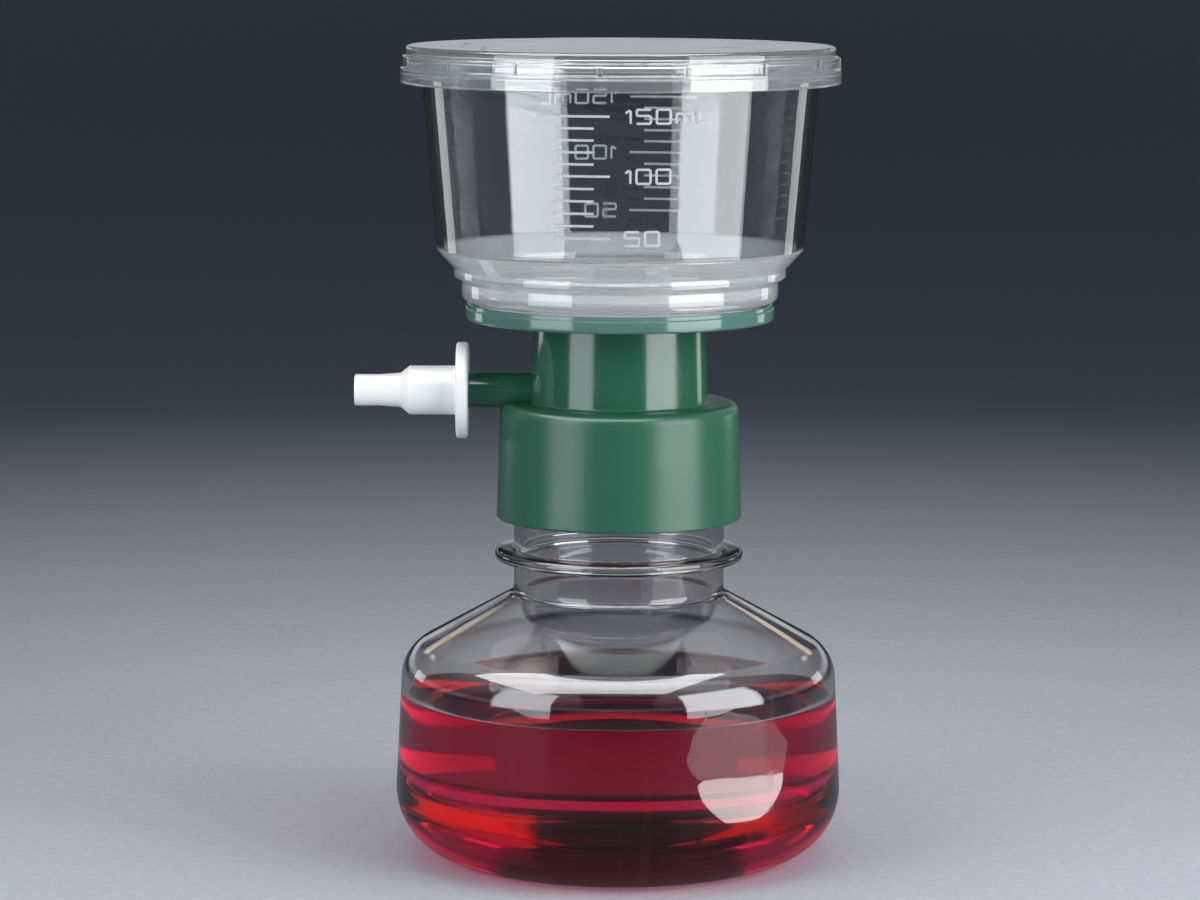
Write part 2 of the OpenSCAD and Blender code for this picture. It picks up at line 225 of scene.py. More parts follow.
def grown(name, tree, points, settings, edges=None):
    """A named piece that a tree grows from points in millimetres."""
    mesh = bpy.data.meshes.new(name)
    links = edges or [(i, i + 1) for i in range(len(points) - 1)]
    mesh.from_pydata([Vector(p) * MM for p in points], links, [])
    piece = bpy.data.objects.new(name, mesh)
    bpy.context.scene.collection.objects.link(piece)
    modifier = piece.modifiers.new("grow", "NODES")
    modifier.node_group = tree
    for item in tree.interface.items_tree:
        if item.in_out == "INPUT" and item.name in settings:
            modifier[item.identifier] = settings[item.name]
    plain_mesh(piece)
    open_edges = face_outwards(piece)
    print(name, "has", len(piece.data.polygons), "faces and", open_edges, "open edges")
    return shade(piece)


print("Edges stay crisp above", CRISP_ABOVE, "degrees")

# %% [markdown]
# The spin tree is the lathe of this lesson. A grid has one row for each outline point and one
# column for each step round the axis. Each grid point looks up its outline point and is moved
# to that radius, height and angle. With a rise it becomes a screw thread, and with a taper the
# section grows out of a root point at both ends, as a moulded thread does. Merging by distance
# closes the seam and the poles.

# %% The spin tree
SEAM = 0.002


def spin_tree():
    tree, given = new_tree(
        "Spin",
        Segments=240,
        Turns=1.0,
        Rise=0.0,
        Start=0.0,
        Taper=0.0,
        Root=Vector((0, 0, 0)),
        Material=None,
    )
    outline = given["Geometry"]
    size = add(tree, "GeometryNodeAttributeDomainSize", outline).outputs["Point Count"]
    columns = maths(tree, "ADD", given["Segments"], 1.0)
    grid = add(tree, "GeometryNodeMeshGrid", 1.0, 1.0, columns, size).outputs["Mesh"]
    index = add(tree, "GeometryNodeInputIndex").outputs[0]
    row = maths(tree, "MODULO", index, size)
    column = maths(tree, "FLOOR", maths(tree, "DIVIDE", index, size))
    look = add(
        tree, "GeometryNodeSampleIndex", data_type="FLOAT_VECTOR", domain="POINT"
    )
    plug(tree, outline, look.inputs["Geometry"])
    plug(tree, add(tree, "GeometryNodeInputPosition").outputs[0], look.inputs["Value"])
    plug(tree, row, look.inputs["Index"])
    share = maths(tree, "DIVIDE", column, given["Segments"])
    ends = maths(tree, "MINIMUM", share, maths(tree, "SUBTRACT", 1.0, share))
    grow = maths(tree, "DIVIDE", ends, maths(tree, "MAXIMUM", given["Taper"], 1e-6))
    whole = maths(tree, "SUBTRACT", 1.0, maths(tree, "SIGN", given["Taper"]))
    ramp = maths(tree, "MINIMUM", maths(tree, "ADD", grow, whole), 1.0)
    section = add(tree, "ShaderNodeMix", data_type="VECTOR")
    plug(tree, ramp, section.inputs[0])
    plug(tree, given["Root"], section.inputs[4])
    plug(tree, look.outputs["Value"], section.inputs[5])
    split = add(tree, "ShaderNodeSeparateXYZ", section.outputs[1]).outputs
    turned = maths(tree, "MULTIPLY", maths(tree, "MULTIPLY", share, given["Turns"]), math.tau)
    angle = maths(tree, "ADD", turned, given["Start"])
    lift = maths(tree, "MULTIPLY", maths(tree, "MULTIPLY", share, given["Turns"]), given["Rise"])
    place = add(
        tree,
        "ShaderNodeCombineXYZ",
        maths(tree, "MULTIPLY", split["X"], maths(tree, "COSINE", angle)),
        maths(tree, "MULTIPLY", split["X"], maths(tree, "SINE", angle)),
        maths(tree, "ADD", split["Z"], lift),
    ).outputs[0]
    moved = add(tree, "GeometryNodeSetPosition", grid)
    plug(tree, place, moved.inputs["Position"])
    closed = add(tree, "GeometryNodeMergeByDistance", moved.outputs[0])
    plug(tree, SEAM * MM, closed.inputs["Distance"])
    finish_tree(tree, closed.outputs[0], given["Material"])
    return tree


SPIN = spin_tree()


def turned(name, outline, material, segments=240):
    """A piece of turned work: an outline of radius and height, spun round the axis."""
    points = [(r, 0, z) for r, z in outline]
    return grown(name, SPIN, points, {"Segments": segments, "Material": material})


print("The spin tree has", len(SPIN.nodes), "nodes")

# %% [markdown]
# ## Finishes
# What several plastics share is a shader group, built once and placed in each material with
# its own values. Two helpers make the groups: one makes a group with named inputs and outputs,
# and one makes a noise.

# %% Shader helpers
def new_group(name, inputs, outputs):
    group = bpy.data.node_groups.new(name, "ShaderNodeTree")
    for label, value in inputs.items():
        socket = group.interface.new_socket(label, in_out="INPUT", socket_type="NodeSocketFloat")
        socket.default_value = value
    for label in outputs:
        group.interface.new_socket(label, in_out="OUTPUT", socket_type="NodeSocketFloat")
    return group, group.nodes.new("NodeGroupInput").outputs, group.nodes.new("NodeGroupOutput")


def noise(tree, vector, scale, detail=2.0, roughness=0.5):
    node = tree.nodes.new("ShaderNodeTexNoise")
    plug(tree, vector, node.inputs["Vector"])
    plug(tree, scale, node.inputs["Scale"])
    plug(tree, detail, node.inputs["Detail"])
    plug(tree, roughness, node.inputs["Roughness"])
    return node.outputs[0]


# %% [markdown]
# The moulded surface group gives what every injection moulding has: a very slow ripple from the
# flow of the plastic, a fine grain from the tool's surface, and a slight drift of tone.

# %% The moulded surface group
TONE_SCALE, GRAIN_DETAIL, GRAIN_BITE = 45.0, 3.0, 0.6


def moulded_surface():
    group, given, out = new_group(
        "Moulded surface",
        {"Ripple": 0.01, "Ripple scale": 70.0, "Grain": 0.002, "Grain scale": 2500.0},
        ("Height", "Tone"),
    )
    place = add(group, "ShaderNodeTexCoord").outputs["Object"]
    ripple = noise(group, place, given["Ripple scale"], 1.0)
    grain = noise(group, place, given["Grain scale"], GRAIN_DETAIL, GRAIN_BITE)
    height = maths(
        group,
        "ADD",
        maths(group, "MULTIPLY", ripple, given["Ripple"]),
        maths(group, "MULTIPLY", grain, given["Grain"]),
    )
    tone = add(group, "ShaderNodeMapRange", noise(group, place, TONE_SCALE, 4.0), 0.3, 0.7)
    group.links.new(height, out.inputs["Height"])
    group.links.new(tone.outputs[0], out.inputs["Tone"])
    return group


MOULDED = moulded_surface()
print("Shared group:", MOULDED.name, "with", len(MOULDED.nodes), "nodes")

# %% [markdown]
# The handling group gives hairlines that run in all directions, which dull a polished surface a
# little where they cross. Each run of lines is a noise that is stretched along one direction
# and kept only where it is highest, and a slower noise gathers the lines in patches.

# %% The handling marks group
HAIRLINE_TURNS = ((0.4, 0.2, 0.1), (1.3, 0.9, 2.0), (2.2, 0.3, 1.1))
HAIRLINE_STRETCH, HAIRLINE_EDGE = (1.0, 0.035, 0.05), (0.66, 0.7)
PATCH_SCALE, PATCH_EDGE = 60.0, (0.45, 0.65)


def handling_marks():
    group, given, out = new_group(
        "Handling marks", {"Scale": 260.0, "Amount": 1.0}, ("Mask",)
    )
    place = add(group, "ShaderNodeTexCoord").outputs["Object"]
    found = None
    for turn in HAIRLINE_TURNS:
        mapped = add(group, "ShaderNodeMapping", place)
        mapped.inputs["Rotation"].default_value = turn
        mapped.inputs["Scale"].default_value = HAIRLINE_STRETCH
        wave = noise(group, mapped.outputs[0], given["Scale"], 1.0)
        line = add(group, "ShaderNodeMapRange", wave, *HAIRLINE_EDGE).outputs[0]
        found = line if found is None else maths(group, "MAXIMUM", found, line)
    spots = noise(group, place, PATCH_SCALE)
    patch = add(group, "ShaderNodeMapRange", spots, *PATCH_EDGE).outputs[0]
    mask = maths(group, "MULTIPLY", maths(group, "MULTIPLY", found, patch), given["Amount"])
    group.links.new(mask, out.inputs["Mask"])
    return group


HANDLED = handling_marks()
print("Shared group:", HANDLED.name, "with", len(HANDLED.nodes), "nodes")

# %% [markdown]
# A finish starts from one helper. It makes a Principled shader with its plain numbers set on
# its own sockets, places the two shared groups with this material's values, and drives base
# colour, roughness and bump from them. Clear plastic gets one thing more: lamps pass through
# it, because a thin clear wall throws hardly any shadow. A Light Path switch to a Transparent
# shader does that for shadow rays only.

# %% The finish helper
MARK_DULLS, MARK_DEPTH = 0.18, 0.003


def use_group(tree, group, **values):
    node = tree.nodes.new("ShaderNodeGroup")
    node.node_tree = group
    for label, value in values.items():
        node.inputs[label.replace("_", " ")].default_value = value
    return node.outputs


def finish(name, light, dark, roughness, ripple, grain, marks=0.0, grain_scale=2500.0, **plain):
    """A moulded material: two tones that drift, a roughness range, ripple, grain and marks."""
    material = bpy.data.materials.new(name)
    material.use_nodes = True
    tree = material.node_tree
    shader = tree.nodes["Principled BSDF"]
    for label, value in plain.items():
        shader.inputs[label.replace("_", " ")].default_value = value
    surface = use_group(
        tree, MOULDED, Ripple=ripple, Grain=grain, Grain_scale=grain_scale
    )
    handled = use_group(tree, HANDLED, Amount=marks)
    colour = add(tree, "ShaderNodeMix", data_type="RGBA")
    plug(tree, surface["Tone"], colour.inputs[0])
    plug(tree, (*light, 1.0), colour.inputs[6])
    plug(tree, (*dark, 1.0), colour.inputs[7])
    tree.links.new(colour.outputs[2], shader.inputs["Base Color"])
    drift = add(tree, "ShaderNodeMapRange", surface["Tone"], 0.0, 1.0, *roughness).outputs[0]
    dulled = maths(tree, "ADD", drift, maths(tree, "MULTIPLY", handled["Mask"], MARK_DULLS))
    tree.links.new(dulled, shader.inputs["Roughness"])
    bump = tree.nodes.new("ShaderNodeBump")
    bump.inputs["Distance"].default_value = MM
    scratch = maths(tree, "MULTIPLY", handled["Mask"], MARK_DEPTH)
    height = maths(tree, "SUBTRACT", surface["Height"], scratch)
    tree.links.new(height, bump.inputs["Height"])
    tree.links.new(bump.outputs[0], shader.inputs["Normal"])
    return material


def let_lamps_through(material, tint):
    """Shadow rays pass through with a slight loss, as light does through a thin clear wall."""
    tree = material.node_tree
    out = tree.nodes["Material Output"]
    path = tree.nodes.new("ShaderNodeLightPath")
    clear = tree.nodes.new("ShaderNodeBsdfTransparent")
    clear.inputs["Color"].default_value = (*tint, 1.0)
    mix = tree.nodes.new("ShaderNodeMixShader")
    tree.links.new(path.outputs["Is Shadow Ray"], mix.inputs[0])
    tree.links.new(tree.nodes["Principled BSDF"].outputs[0], mix.inputs[1])
    tree.links.new(clear.outputs[0], mix.inputs[2])
    tree.links.new(mix.outputs[0], out.inputs["Surface"])
    return material


print("A handling mark adds", MARK_DULLS, "of roughness and cuts", MARK_DEPTH, "mm deep")

# %% [markdown]
# Polystyrene bends light more than glass does and takes a fine polish. The mouldings differ a
# little: the lid and the foot of the chamber are faintly hazy, because some of their light
# takes the shader's matt way, and the chamber's wall mirrors less than a new polish would.
# The foot is milkier still. Part of that is its own haze, and part is painted light for the
# light that its thick steps catch.

# %% Clear plastic
STYRENE_IOR = 1.55
LAMP_LOSS = (0.93, 0.94, 0.95)


def clear_plastic(name, ripple, clearness=1.0, shine=1.0):
    """Polished clear plastic. Less clearness makes it hazy, and less shine mirrors less."""
    made = finish(
        name,
        light=(0.985, 0.99, 0.995),
        dark=(0.97, 0.98, 0.985),
        roughness=(0.0, 0.03),
        ripple=ripple,
        grain=0.0,
        marks=0.5,
        Transmission_Weight=clearness,
        IOR=STYRENE_IOR,
    )
    shader = made.node_tree.nodes["Principled BSDF"]
    shader.inputs["Specular Tint"].default_value = (shine, shine, shine, 1.0)
    return let_lamps_through(made, LAMP_LOSS)


BOTTLE_PLASTIC = clear_plastic("Clear bottle plastic", ripple=0.05)
WETTED_PLASTIC = clear_plastic("Wetted bottle plastic", ripple=0.0)
CHAMBER_PLASTIC = clear_plastic("Clear chamber plastic", ripple=0.035, shine=0.7)
# The foot's milkiness is partly real haze and partly painted light for its thick steps.
CHAMBER_FOOT_HAZE_AND_LIGHT = clear_plastic("Clear chamber plastic, foot, hazy and lit", ripple=0.05, clearness=0.82)
LID_PLASTIC = clear_plastic("Clear lid plastic", ripple=0.05, clearness=0.94)
print("Clear finishes made:", [m.name for m in bpy.data.materials if m.name[:5] == "Clear"])

# %% [markdown]
# The liquid has no surface colour at all: its red comes from absorption, so a thin edge is
# bright and the deep middle is dark. Liquid and plastic are nearly alike to light, so where the
# two touch, neither of them mirrors anything.

# %% Red filtrate
MEDIUM_IOR = 1.34
SOAK_COLOUR, SOAK_DENSITY = (0.972, 0.0, 0.65), 100.0
NO_LOSS = (1.0, 1.0, 1.0)


def red_liquid(name):
    """Colour by absorption: the deeper the liquid, the darker and redder it is."""
    made = finish(
        name,
        light=(1.0, 0.98, 0.98),
        dark=(1.0, 0.96, 0.97),
        roughness=(0.0, 0.01),
        ripple=0.0,
        grain=0.0,
        Transmission_Weight=1.0,
        IOR=MEDIUM_IOR,
    )
    let_lamps_through(made, NO_LOSS)
    tree = made.node_tree
    soak = tree.nodes.new("ShaderNodeVolumeAbsorption")
    soak.inputs["Color"].default_value = (*SOAK_COLOUR, 1.0)
    soak.inputs["Density"].default_value = SOAK_DENSITY
    tree.links.new(soak.outputs[0], tree.nodes["Material Output"].inputs["Volume"])
    return made


FILTRATE = red_liquid("Red filtrate")
FILTRATE_AT_WALL = red_liquid("Red filtrate against the wall")
for material in (WETTED_PLASTIC, FILTRATE_AT_WALL):
    shader = material.node_tree.nodes["Principled BSDF"]
    shader.inputs["Specular Tint"].default_value = (0.0, 0.0, 0.0, 1.0)
print("Liquid finishes made:", FILTRATE.name, "and", FILTRATE_AT_WALL.name)

# %% [markdown]
# The opaque plastics scatter some light under their surface, which softens them. The holder's
# green comes in three states: satin on the collar, polished on the tube, and in the thin rim a
# paler colour, which is painted light coming through the rim on top of its real transmission.
# The white adapter is a waxier plastic with a duller face.

# %% The opaque plastics
GREEN_LIGHT, GREEN_DARK = (0.022, 0.104, 0.064), (0.018, 0.088, 0.055)
SOFT_GREEN = {"Subsurface_Weight": 0.08, "Subsurface_Scale": 0.001}
GREEN_PLASTIC = finish(
    "Green moulded plastic",
    light=GREEN_LIGHT,
    dark=GREEN_DARK,
    roughness=(0.25, 0.33),
    ripple=0.03,
    grain=0.004,
    marks=0.35,
    Specular_IOR_Level=0.42,
    **SOFT_GREEN,
)
GREEN_TUBE = finish(
    "Green moulded plastic, polished",
    light=GREEN_LIGHT,
    dark=GREEN_DARK,
    roughness=(0.12, 0.17),
    ripple=0.03,
    grain=0.002,
    marks=0.35,
    Specular_IOR_Level=0.55,
    **SOFT_GREEN,
)
# The rim's paler colour is painted light coming through the thin plastic; its transmission is
# real.
GREEN_RIM_LIT_THROUGH = finish(
    "Green plastic, thin rim lit through",
    light=(0.17, 0.36, 0.30),
    dark=(0.14, 0.31, 0.25),
    roughness=(0.06, 0.12),
    ripple=0.02,
    grain=0.0,
    marks=0.2,
    Transmission_Weight=0.55,
    IOR=1.5,
)
WHITE_PLASTIC = finish(
    "White moulded plastic",
    light=(0.84, 0.84, 0.85),
    dark=(0.79, 0.79, 0.80),
    roughness=(0.38, 0.48),
    ripple=0.02,
    grain=0.004,
    marks=0.3,
    Subsurface_Weight=0.15,
    Subsurface_Scale=0.001,
)
print("Plastics made:", [m.name for m in (GREEN_PLASTIC, GREEN_TUBE, GREEN_RIM_LIT_THROUGH, WHITE_PLASTIC)])

# %% [markdown]
# The rest are small pieces with plain finishes: frosted strokes for the graduations, a smooth
# matt membrane, a silicone gasket, and cotton wadding with a soft sheen.

# %% Graduations, membrane, gasket and wadding
GRADUATION = finish(
    "Frosted graduation",
    light=(0.95, 0.96, 0.97),
    dark=(0.88, 0.90, 0.92),
    roughness=(0.5, 0.65),
    ripple=0.0,
    grain=0.01,
    Transmission_Weight=0.68,
    IOR=1.3,
)
MEMBRANE = finish(
    "Membrane paper",
    light=(0.88, 0.88, 0.87),
    dark=(0.84, 0.84, 0.82),
    roughness=(0.85, 0.95),
    ripple=0.01,
    grain=0.02,
    grain_scale=4000.0,
)
GASKET = finish(
    "Gasket silicone",
    light=(0.80, 0.79, 0.74),
    dark=(0.72, 0.71, 0.66),
    roughness=(0.5, 0.62),
    ripple=0.02,
    grain=0.01,
)
WADDING = finish(
    "Cotton wadding",
    light=(0.90, 0.89, 0.86),
    dark=(0.70, 0.69, 0.65),
    roughness=(0.9, 1.0),
    ripple=0.1,
    grain=0.2,
    grain_scale=1500.0,
    Sheen_Weight=0.3,
)
print("Finishes made:", [m.name for m in bpy.data.materials if m.use_nodes])

# %% [markdown]
# ## The receiver bottle
# The bottle is one clear moulding of even wall: a hollowed base on a narrow standing ring, a
# big base corner, a wall that leans in by a few degrees so that it leaves the mould, a sloping
# shoulder, and a threaded neck with a bead under the collar. One function draws the body at
# any depth inside its outer surface, so the inner wall and the liquid come from the same curve.

# %% The curve of the bottle's body
BASE_CORNER, SHOULDER_CORNER = 13.7, 8.3
WALL_TOP, DRAFT, SLOPE = 35.7, 2.9, 29.0
BOTTLE_WALL, NECK_WALL = 1.3, 1.8
STAND_RING, BASE_HOLLOW = 3.4, 3.0
NECK_R = 20.8
NECK_TOP = bottle_high.z

draft = math.radians(DRAFT)
slope = math.radians(SLOPE)
stand_r = bottle_high.x - BASE_CORNER
corner_change = BASE_CORNER - SHOULDER_CORNER
wall_run = (WALL_TOP - BASE_CORNER - corner_change * math.sin(draft)) / math.cos(draft)
shoulder_r = stand_r - wall_run * math.sin(draft) + corner_change * math.cos(draft)
hollow_r = stand_r - STAND_RING
hollow_curve = (hollow_r**2 + BASE_HOLLOW**2) / (2 * BASE_HOLLOW)


def shoulder_height(radius, inside=0.0):
    bend = SHOULDER_CORNER - inside
    rise = (shoulder_r + bend * math.sin(slope) - radius) * math.tan(slope)
    return WALL_TOP + bend * math.cos(slope) + rise


def body_curve(inside):
    """The body from the middle of its base to its shoulder, at a depth inside its surface."""
    bend, centre = hollow_curve + inside, BASE_HOLLOW - hollow_curve
    edge = math.degrees(math.asin((inside - centre) / bend))
    dome = arc(0, centre, bend, 90, edge, 14)
    dome[0] = (0.0, dome[0][1])
    return (
        dome[:-1]
        + [(*dome[-1], 0.8)]
        + arc(stand_r, BASE_CORNER, BASE_CORNER - inside, -90, DRAFT, 28)
        + arc(shoulder_r, WALL_TOP, SHOULDER_CORNER - inside, DRAFT, 90 - SLOPE, 18)
    )


print("The wall leans in by", DRAFT, "degrees and the shoulder rises at", SLOPE)

# %% [markdown]
# Joining two solids without a wall between them matters in clear plastic, because every hidden
# wall would show. The Boolean modifier does it, and like the trees it is turned into a plain
# mesh at once.

# %% Joining and cutting solids
SOLVER = "MANIFOLD"


def worked(piece, tool, operation):
    """Unites a solid with a piece, or cuts it away, and removes the tool."""
    modifier = piece.modifiers.new(operation, "BOOLEAN")
    modifier.operation = operation
    modifier.solver = SOLVER
    modifier.object = tool
    plain_mesh(piece)
    bpy.data.objects.remove(tool)
    return shade(piece)


print("Solids are joined and cut with the", SOLVER.lower(), "solver")

# %% [markdown]
# A thread is the same spun work with a rise. Its section is a trapezoid with a rounded crest,
# and it fades out at both ends. The neck carries it outside and the collar inside, so one
# function makes both, and the two are set so that they run in each other's gaps.

# %% A moulded thread
PITCH, THREAD_TURNS, THREAD_START = 4.2, 1.25, math.radians(17)
THREAD_DEPTH, THREAD_ROOT_W, THREAD_CREST_W, THREAD_GAP = 1.1, 2.0, 0.8, 0.4
THREAD_FOOT, THREAD_EDGE, THREAD_TAPER = 0.4, 0.25, 0.07
THREAD_SEGMENTS = 130
neck_thread_z = NECK_TOP - THREAD_TURNS * PITCH - THREAD_ROOT_W


def thread(name, wall_r, depth, height, material):
    """A moulded thread on a wall of that radius, outwards or, with a minus, inwards."""
    sign = math.copysign(1, depth)
    foot, tip = wall_r - sign * THREAD_FOOT, wall_r + depth
    section = [
        (foot, -THREAD_ROOT_W / 2),
        (tip, -THREAD_CREST_W / 2, THREAD_EDGE),
        (tip, THREAD_CREST_W / 2, THREAD_EDGE),
        (foot, THREAD_ROOT_W / 2),
    ]
    loop = eased(section) + [section[0]]
    points = [(r, 0, z + height) for r, z in (p[:2] for p in loop)]
    settings = {
        "Segments": THREAD_SEGMENTS,
        "Turns": THREAD_TURNS,
        "Rise": PITCH * MM,
        "Start": THREAD_START,
        "Taper": THREAD_TAPER,
        "Root": (foot * MM, 0.0, height * MM),
        "Material": material,
    }
    return grown(name, SPIN, points, settings)


print("thread:", THREAD_TURNS, "turns, one every", PITCH, "mm")

# %% [markdown]
# The bottle's outline runs up its outer side, over the lip and down its inner side. The neck has
# a bead under the collar, which is what a machine holds the bottle by. The thread is united with
# it, so no wall is left between them in the clear plastic.

# %% Bottle with its neck, bead and thread
NECK_FILLET, LIP_ROUND, BEAD_ROUND, BEAD_FOOT = 2.0, 0.5, 1.1, 0.35
BEAD_W, BEAD_T, BEAD_GAP = 3.75, 2.3, 6.1
bead_top = holder_low.z - BEAD_GAP
bead_low = bead_top - BEAD_T
neck_bore = NECK_R - NECK_WALL
outer_side = body_curve(0.0) + [
    (NECK_R, shoulder_height(NECK_R), NECK_FILLET),
    (NECK_R, bead_low, BEAD_FOOT),
    (NECK_R + BEAD_W, bead_low, BEAD_ROUND),
    (NECK_R + BEAD_W, bead_top, BEAD_ROUND),
    (NECK_R, bead_top, BEAD_FOOT),
    (NECK_R, NECK_TOP, LIP_ROUND),
    (neck_bore, NECK_TOP, LIP_ROUND),
]
inner_wall = body_curve(BOTTLE_WALL) + [
    (neck_bore, shoulder_height(neck_bore, BOTTLE_WALL), 1.2)
]
bottle = turned("bottle", eased(outer_side + inner_wall[::-1]), BOTTLE_PLASTIC)
worked(
    bottle,
    thread("neck_thread", NECK_R, THREAD_DEPTH, neck_thread_z, BOTTLE_PLASTIC),
    "UNION",
)

# %% [markdown]
# The wall that the liquid wets hardly reflects, because the two are nearly alike to light. It
# gets the finish for that, and so do the inner faces up to just over the liquid's level.

# %% Bottle: the wetted wall
WETTED = liquid_high.z + 0.4
middle = Vector((0, 0, 0.5 * liquid_high.z)) * MM


def refinish(piece, material, wanted):
    """Gives the chosen faces a further finish and returns how many they are."""
    piece.data.materials.append(material)
    chosen = [face for face in piece.data.polygons if wanted(face)]
    for face in chosen:
        face.material_index = len(piece.data.materials) - 1
    return len(chosen)


def is_wetted(face):
    return face.center.z < WETTED * MM and face.normal.dot(middle - face.center) > 0


print("bottle:", refinish(bottle, WETTED_PLASTIC, is_wetted), "faces are wetted")
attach(bottle, "receiver")
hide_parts("receiver_bottle")
print("bottle:", len(bottle.data.polygons), "faces, neck foot at", shoulder_height(NECK_R))

# %% [markdown]
# ## The filtrate
# The liquid touches the plastic, so no air may show between them: its mesh reaches a hair into
# the bottle's wall. Its colour is absorption, which makes a thin edge bright crimson and the
# thick middle nearly black-red, as in a real bottle. Where it meets the wall it climbs a little.

# %% Filtrate with its meniscus
WET_OVERLAP = 0.08
CLIMB, CLIMB_REACH = 0.8, 1.5
level = liquid_high.z
wet = body_curve(BOTTLE_WALL - WET_OVERLAP)
lower = [p for p in wet if p[1] < level]
upper = next(p for p in wet if p[1] > level and p[0] > hollow_r)
below = lower[-1]
top = level + CLIMB
edge_r = below[0] + (upper[0] - below[0]) * (top - below[1]) / (upper[1] - below[1])
away = (0.0, 0.15, 0.35, 0.6, 0.9, 1.3, 1.8, 2.5, 3.4, 4.6, 6.5, 10.0)
meniscus = [(edge_r - d, level + CLIMB * math.exp(-d / CLIMB_REACH)) for d in away]
filtrate = turned("filtrate_liquid", eased(lower + meniscus + [(0.0, level)]), FILTRATE)
refinish(
    filtrate,
    FILTRATE_AT_WALL,
    lambda face: face.normal.z < 0.05 or face.center.z < (level - 1) * MM,
)
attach(filtrate, "receiver")
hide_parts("filtrate")
print("filtrate: level", round(level, 2), "mm, contact radius", round(edge_r, 2), "mm")

# %% [markdown]
# ## The filter holder
# The green part is a single moulding with four jobs: the collar screws onto the bottle, the
# tube carries the plate, the plate clamps the membrane, and the side arm takes the vacuum. Its
# section is one closed outline. The side arm, its bore, the inner thread and the membrane's
# support are solids united with it or cut from it.

# %% Holder: the turned section
COLLAR_WALL, COLLAR_FLARE, COLLAR_TOP_T, COLLAR_EDGE = 1.25, 0.7, 3.2, 2.0
TUBE_LOW_R, TUBE_HIGH_R, TUBE_WALL = 17.5, 17.0, 1.8
PLATE_T, RIM_H, RIM_T, DRAIN = 1.2, 3.3, 0.8, 0.6
RIM_STEP, RIM_STEP_H = 0.3, 0.95
RING_R, RING_WALL, LAND_EXTRA = 27.7, 1.3, 0.5
SPOUT_R, FUNNEL_WALL, FUNNEL_H, SPOUT_LEN = 1.9, 1.2, 9.0, 8.0
collar_r = NECK_R + THREAD_DEPTH + THREAD_GAP
collar_under = gasket_high.z
collar_top = collar_under + COLLAR_TOP_T
plate_z = holder_high.z - RIM_H
land_z = plate_z + PLATE_T
drain_z = land_z - DRAIN
tube_bore = min(TUBE_LOW_R, TUBE_HIGH_R) - TUBE_WALL
spout_top = plate_z - FUNNEL_H
section = [
    (collar_r, 0.5 * (holder_low.z + collar_under)),
    (collar_r, holder_low.z, 0.4),
    (collar_r + COLLAR_WALL + COLLAR_FLARE, holder_low.z, 0.45),
    (collar_r + COLLAR_WALL, collar_top, COLLAR_EDGE),
    (TUBE_LOW_R, collar_top, 0.35),
    (TUBE_HIGH_R, plate_z, 0.6),
    (holder_high.x, plate_z, 0.7),
    (holder_high.x, holder_high.z - RIM_STEP_H, 0.3),
    (holder_high.x - RIM_STEP, holder_high.z - RIM_STEP_H + 0.1, 0.1),
    (holder_high.x - RIM_STEP, holder_high.z, 0.2),
    (holder_high.x - RIM_T, holder_high.z, 0.2),
    (holder_high.x - RIM_T, drain_z, 0.25),
    (RING_R + LAND_EXTRA, drain_z, 0.2),
    (RING_R + LAND_EXTRA, land_z, 0.12),
    (RING_R - RING_WALL, land_z, 0.12),
    (RING_R - RING_WALL, drain_z, 0.15),
    (tube_bore, drain_z, 0.2),
    (tube_bore, plate_z, 0.1),
    (tube_bore - FUNNEL_WALL, plate_z, 0.2),
    (SPOUT_R, spout_top + FUNNEL_WALL / 2, 0.8),
    (SPOUT_R, spout_top - SPOUT_LEN, 0.3),
    (SPOUT_R + FUNNEL_WALL, spout_top - SPOUT_LEN, 0.3),
    (SPOUT_R + FUNNEL_WALL, spout_top, 0.6),
    (tube_bore, plate_z - 0.4, 0.3),
    (tube_bore, collar_under, 0.3),
    (collar_r, collar_under, 0.3),
    (collar_r, 0.5 * (holder_low.z + collar_under)),
]
holder = turned("holder", eased(section), GREEN_PLASTIC)

# %% [markdown]
# Ribs in a ring are the same small block repeated at even angles, which is a job for points and
# instances. The same tree gives the bars under the membrane and the finger ribs on the lid.

# %% The tree for a ring of ribs
def rib_tree():
    tree, given = new_tree(
        "Ring of ribs",
        Count=12,
        Radius=0.01,
        Height=0.0,
        Start=0.0,
        Size=Vector((0.01, 0.001, 0.001)),
        Material=None,
    )
    ring = add(tree, "GeometryNodeMeshCircle", given["Count"], 1.0).outputs[0]
    index = add(tree, "GeometryNodeInputIndex").outputs[0]
    step = maths(tree, "DIVIDE", math.tau, given["Count"])
    angle = maths(tree, "ADD", maths(tree, "MULTIPLY", index, step), given["Start"])
    place = add(
        tree,
        "ShaderNodeCombineXYZ",
        maths(tree, "MULTIPLY", given["Radius"], maths(tree, "COSINE", angle)),
        maths(tree, "MULTIPLY", given["Radius"], maths(tree, "SINE", angle)),
        given["Height"],
    ).outputs[0]
    moved = add(tree, "GeometryNodeSetPosition", ring)
    plug(tree, place, moved.inputs["Position"])
    block = add(tree, "GeometryNodeMeshCube", given["Size"], 2, 2, 2).outputs["Mesh"]
    copies = add(tree, "GeometryNodeInstanceOnPoints", moved.outputs[0])
    plug(tree, block, copies.inputs["Instance"])
    turn = add(tree, "ShaderNodeCombineXYZ", 0.0, 0.0, angle).outputs[0]
    plug(tree, turn, copies.inputs["Rotation"])
    finish_tree(tree, copies.outputs[0], given["Material"])
    return tree


RIBS = rib_tree()
print("The rib tree has", len(RIBS.nodes), "nodes")

# %% [markdown]
# A bare block has knife edges. A bevel makes it a moulded rib. It comes after the tree, because
# a bevel is a modifier and not a node.

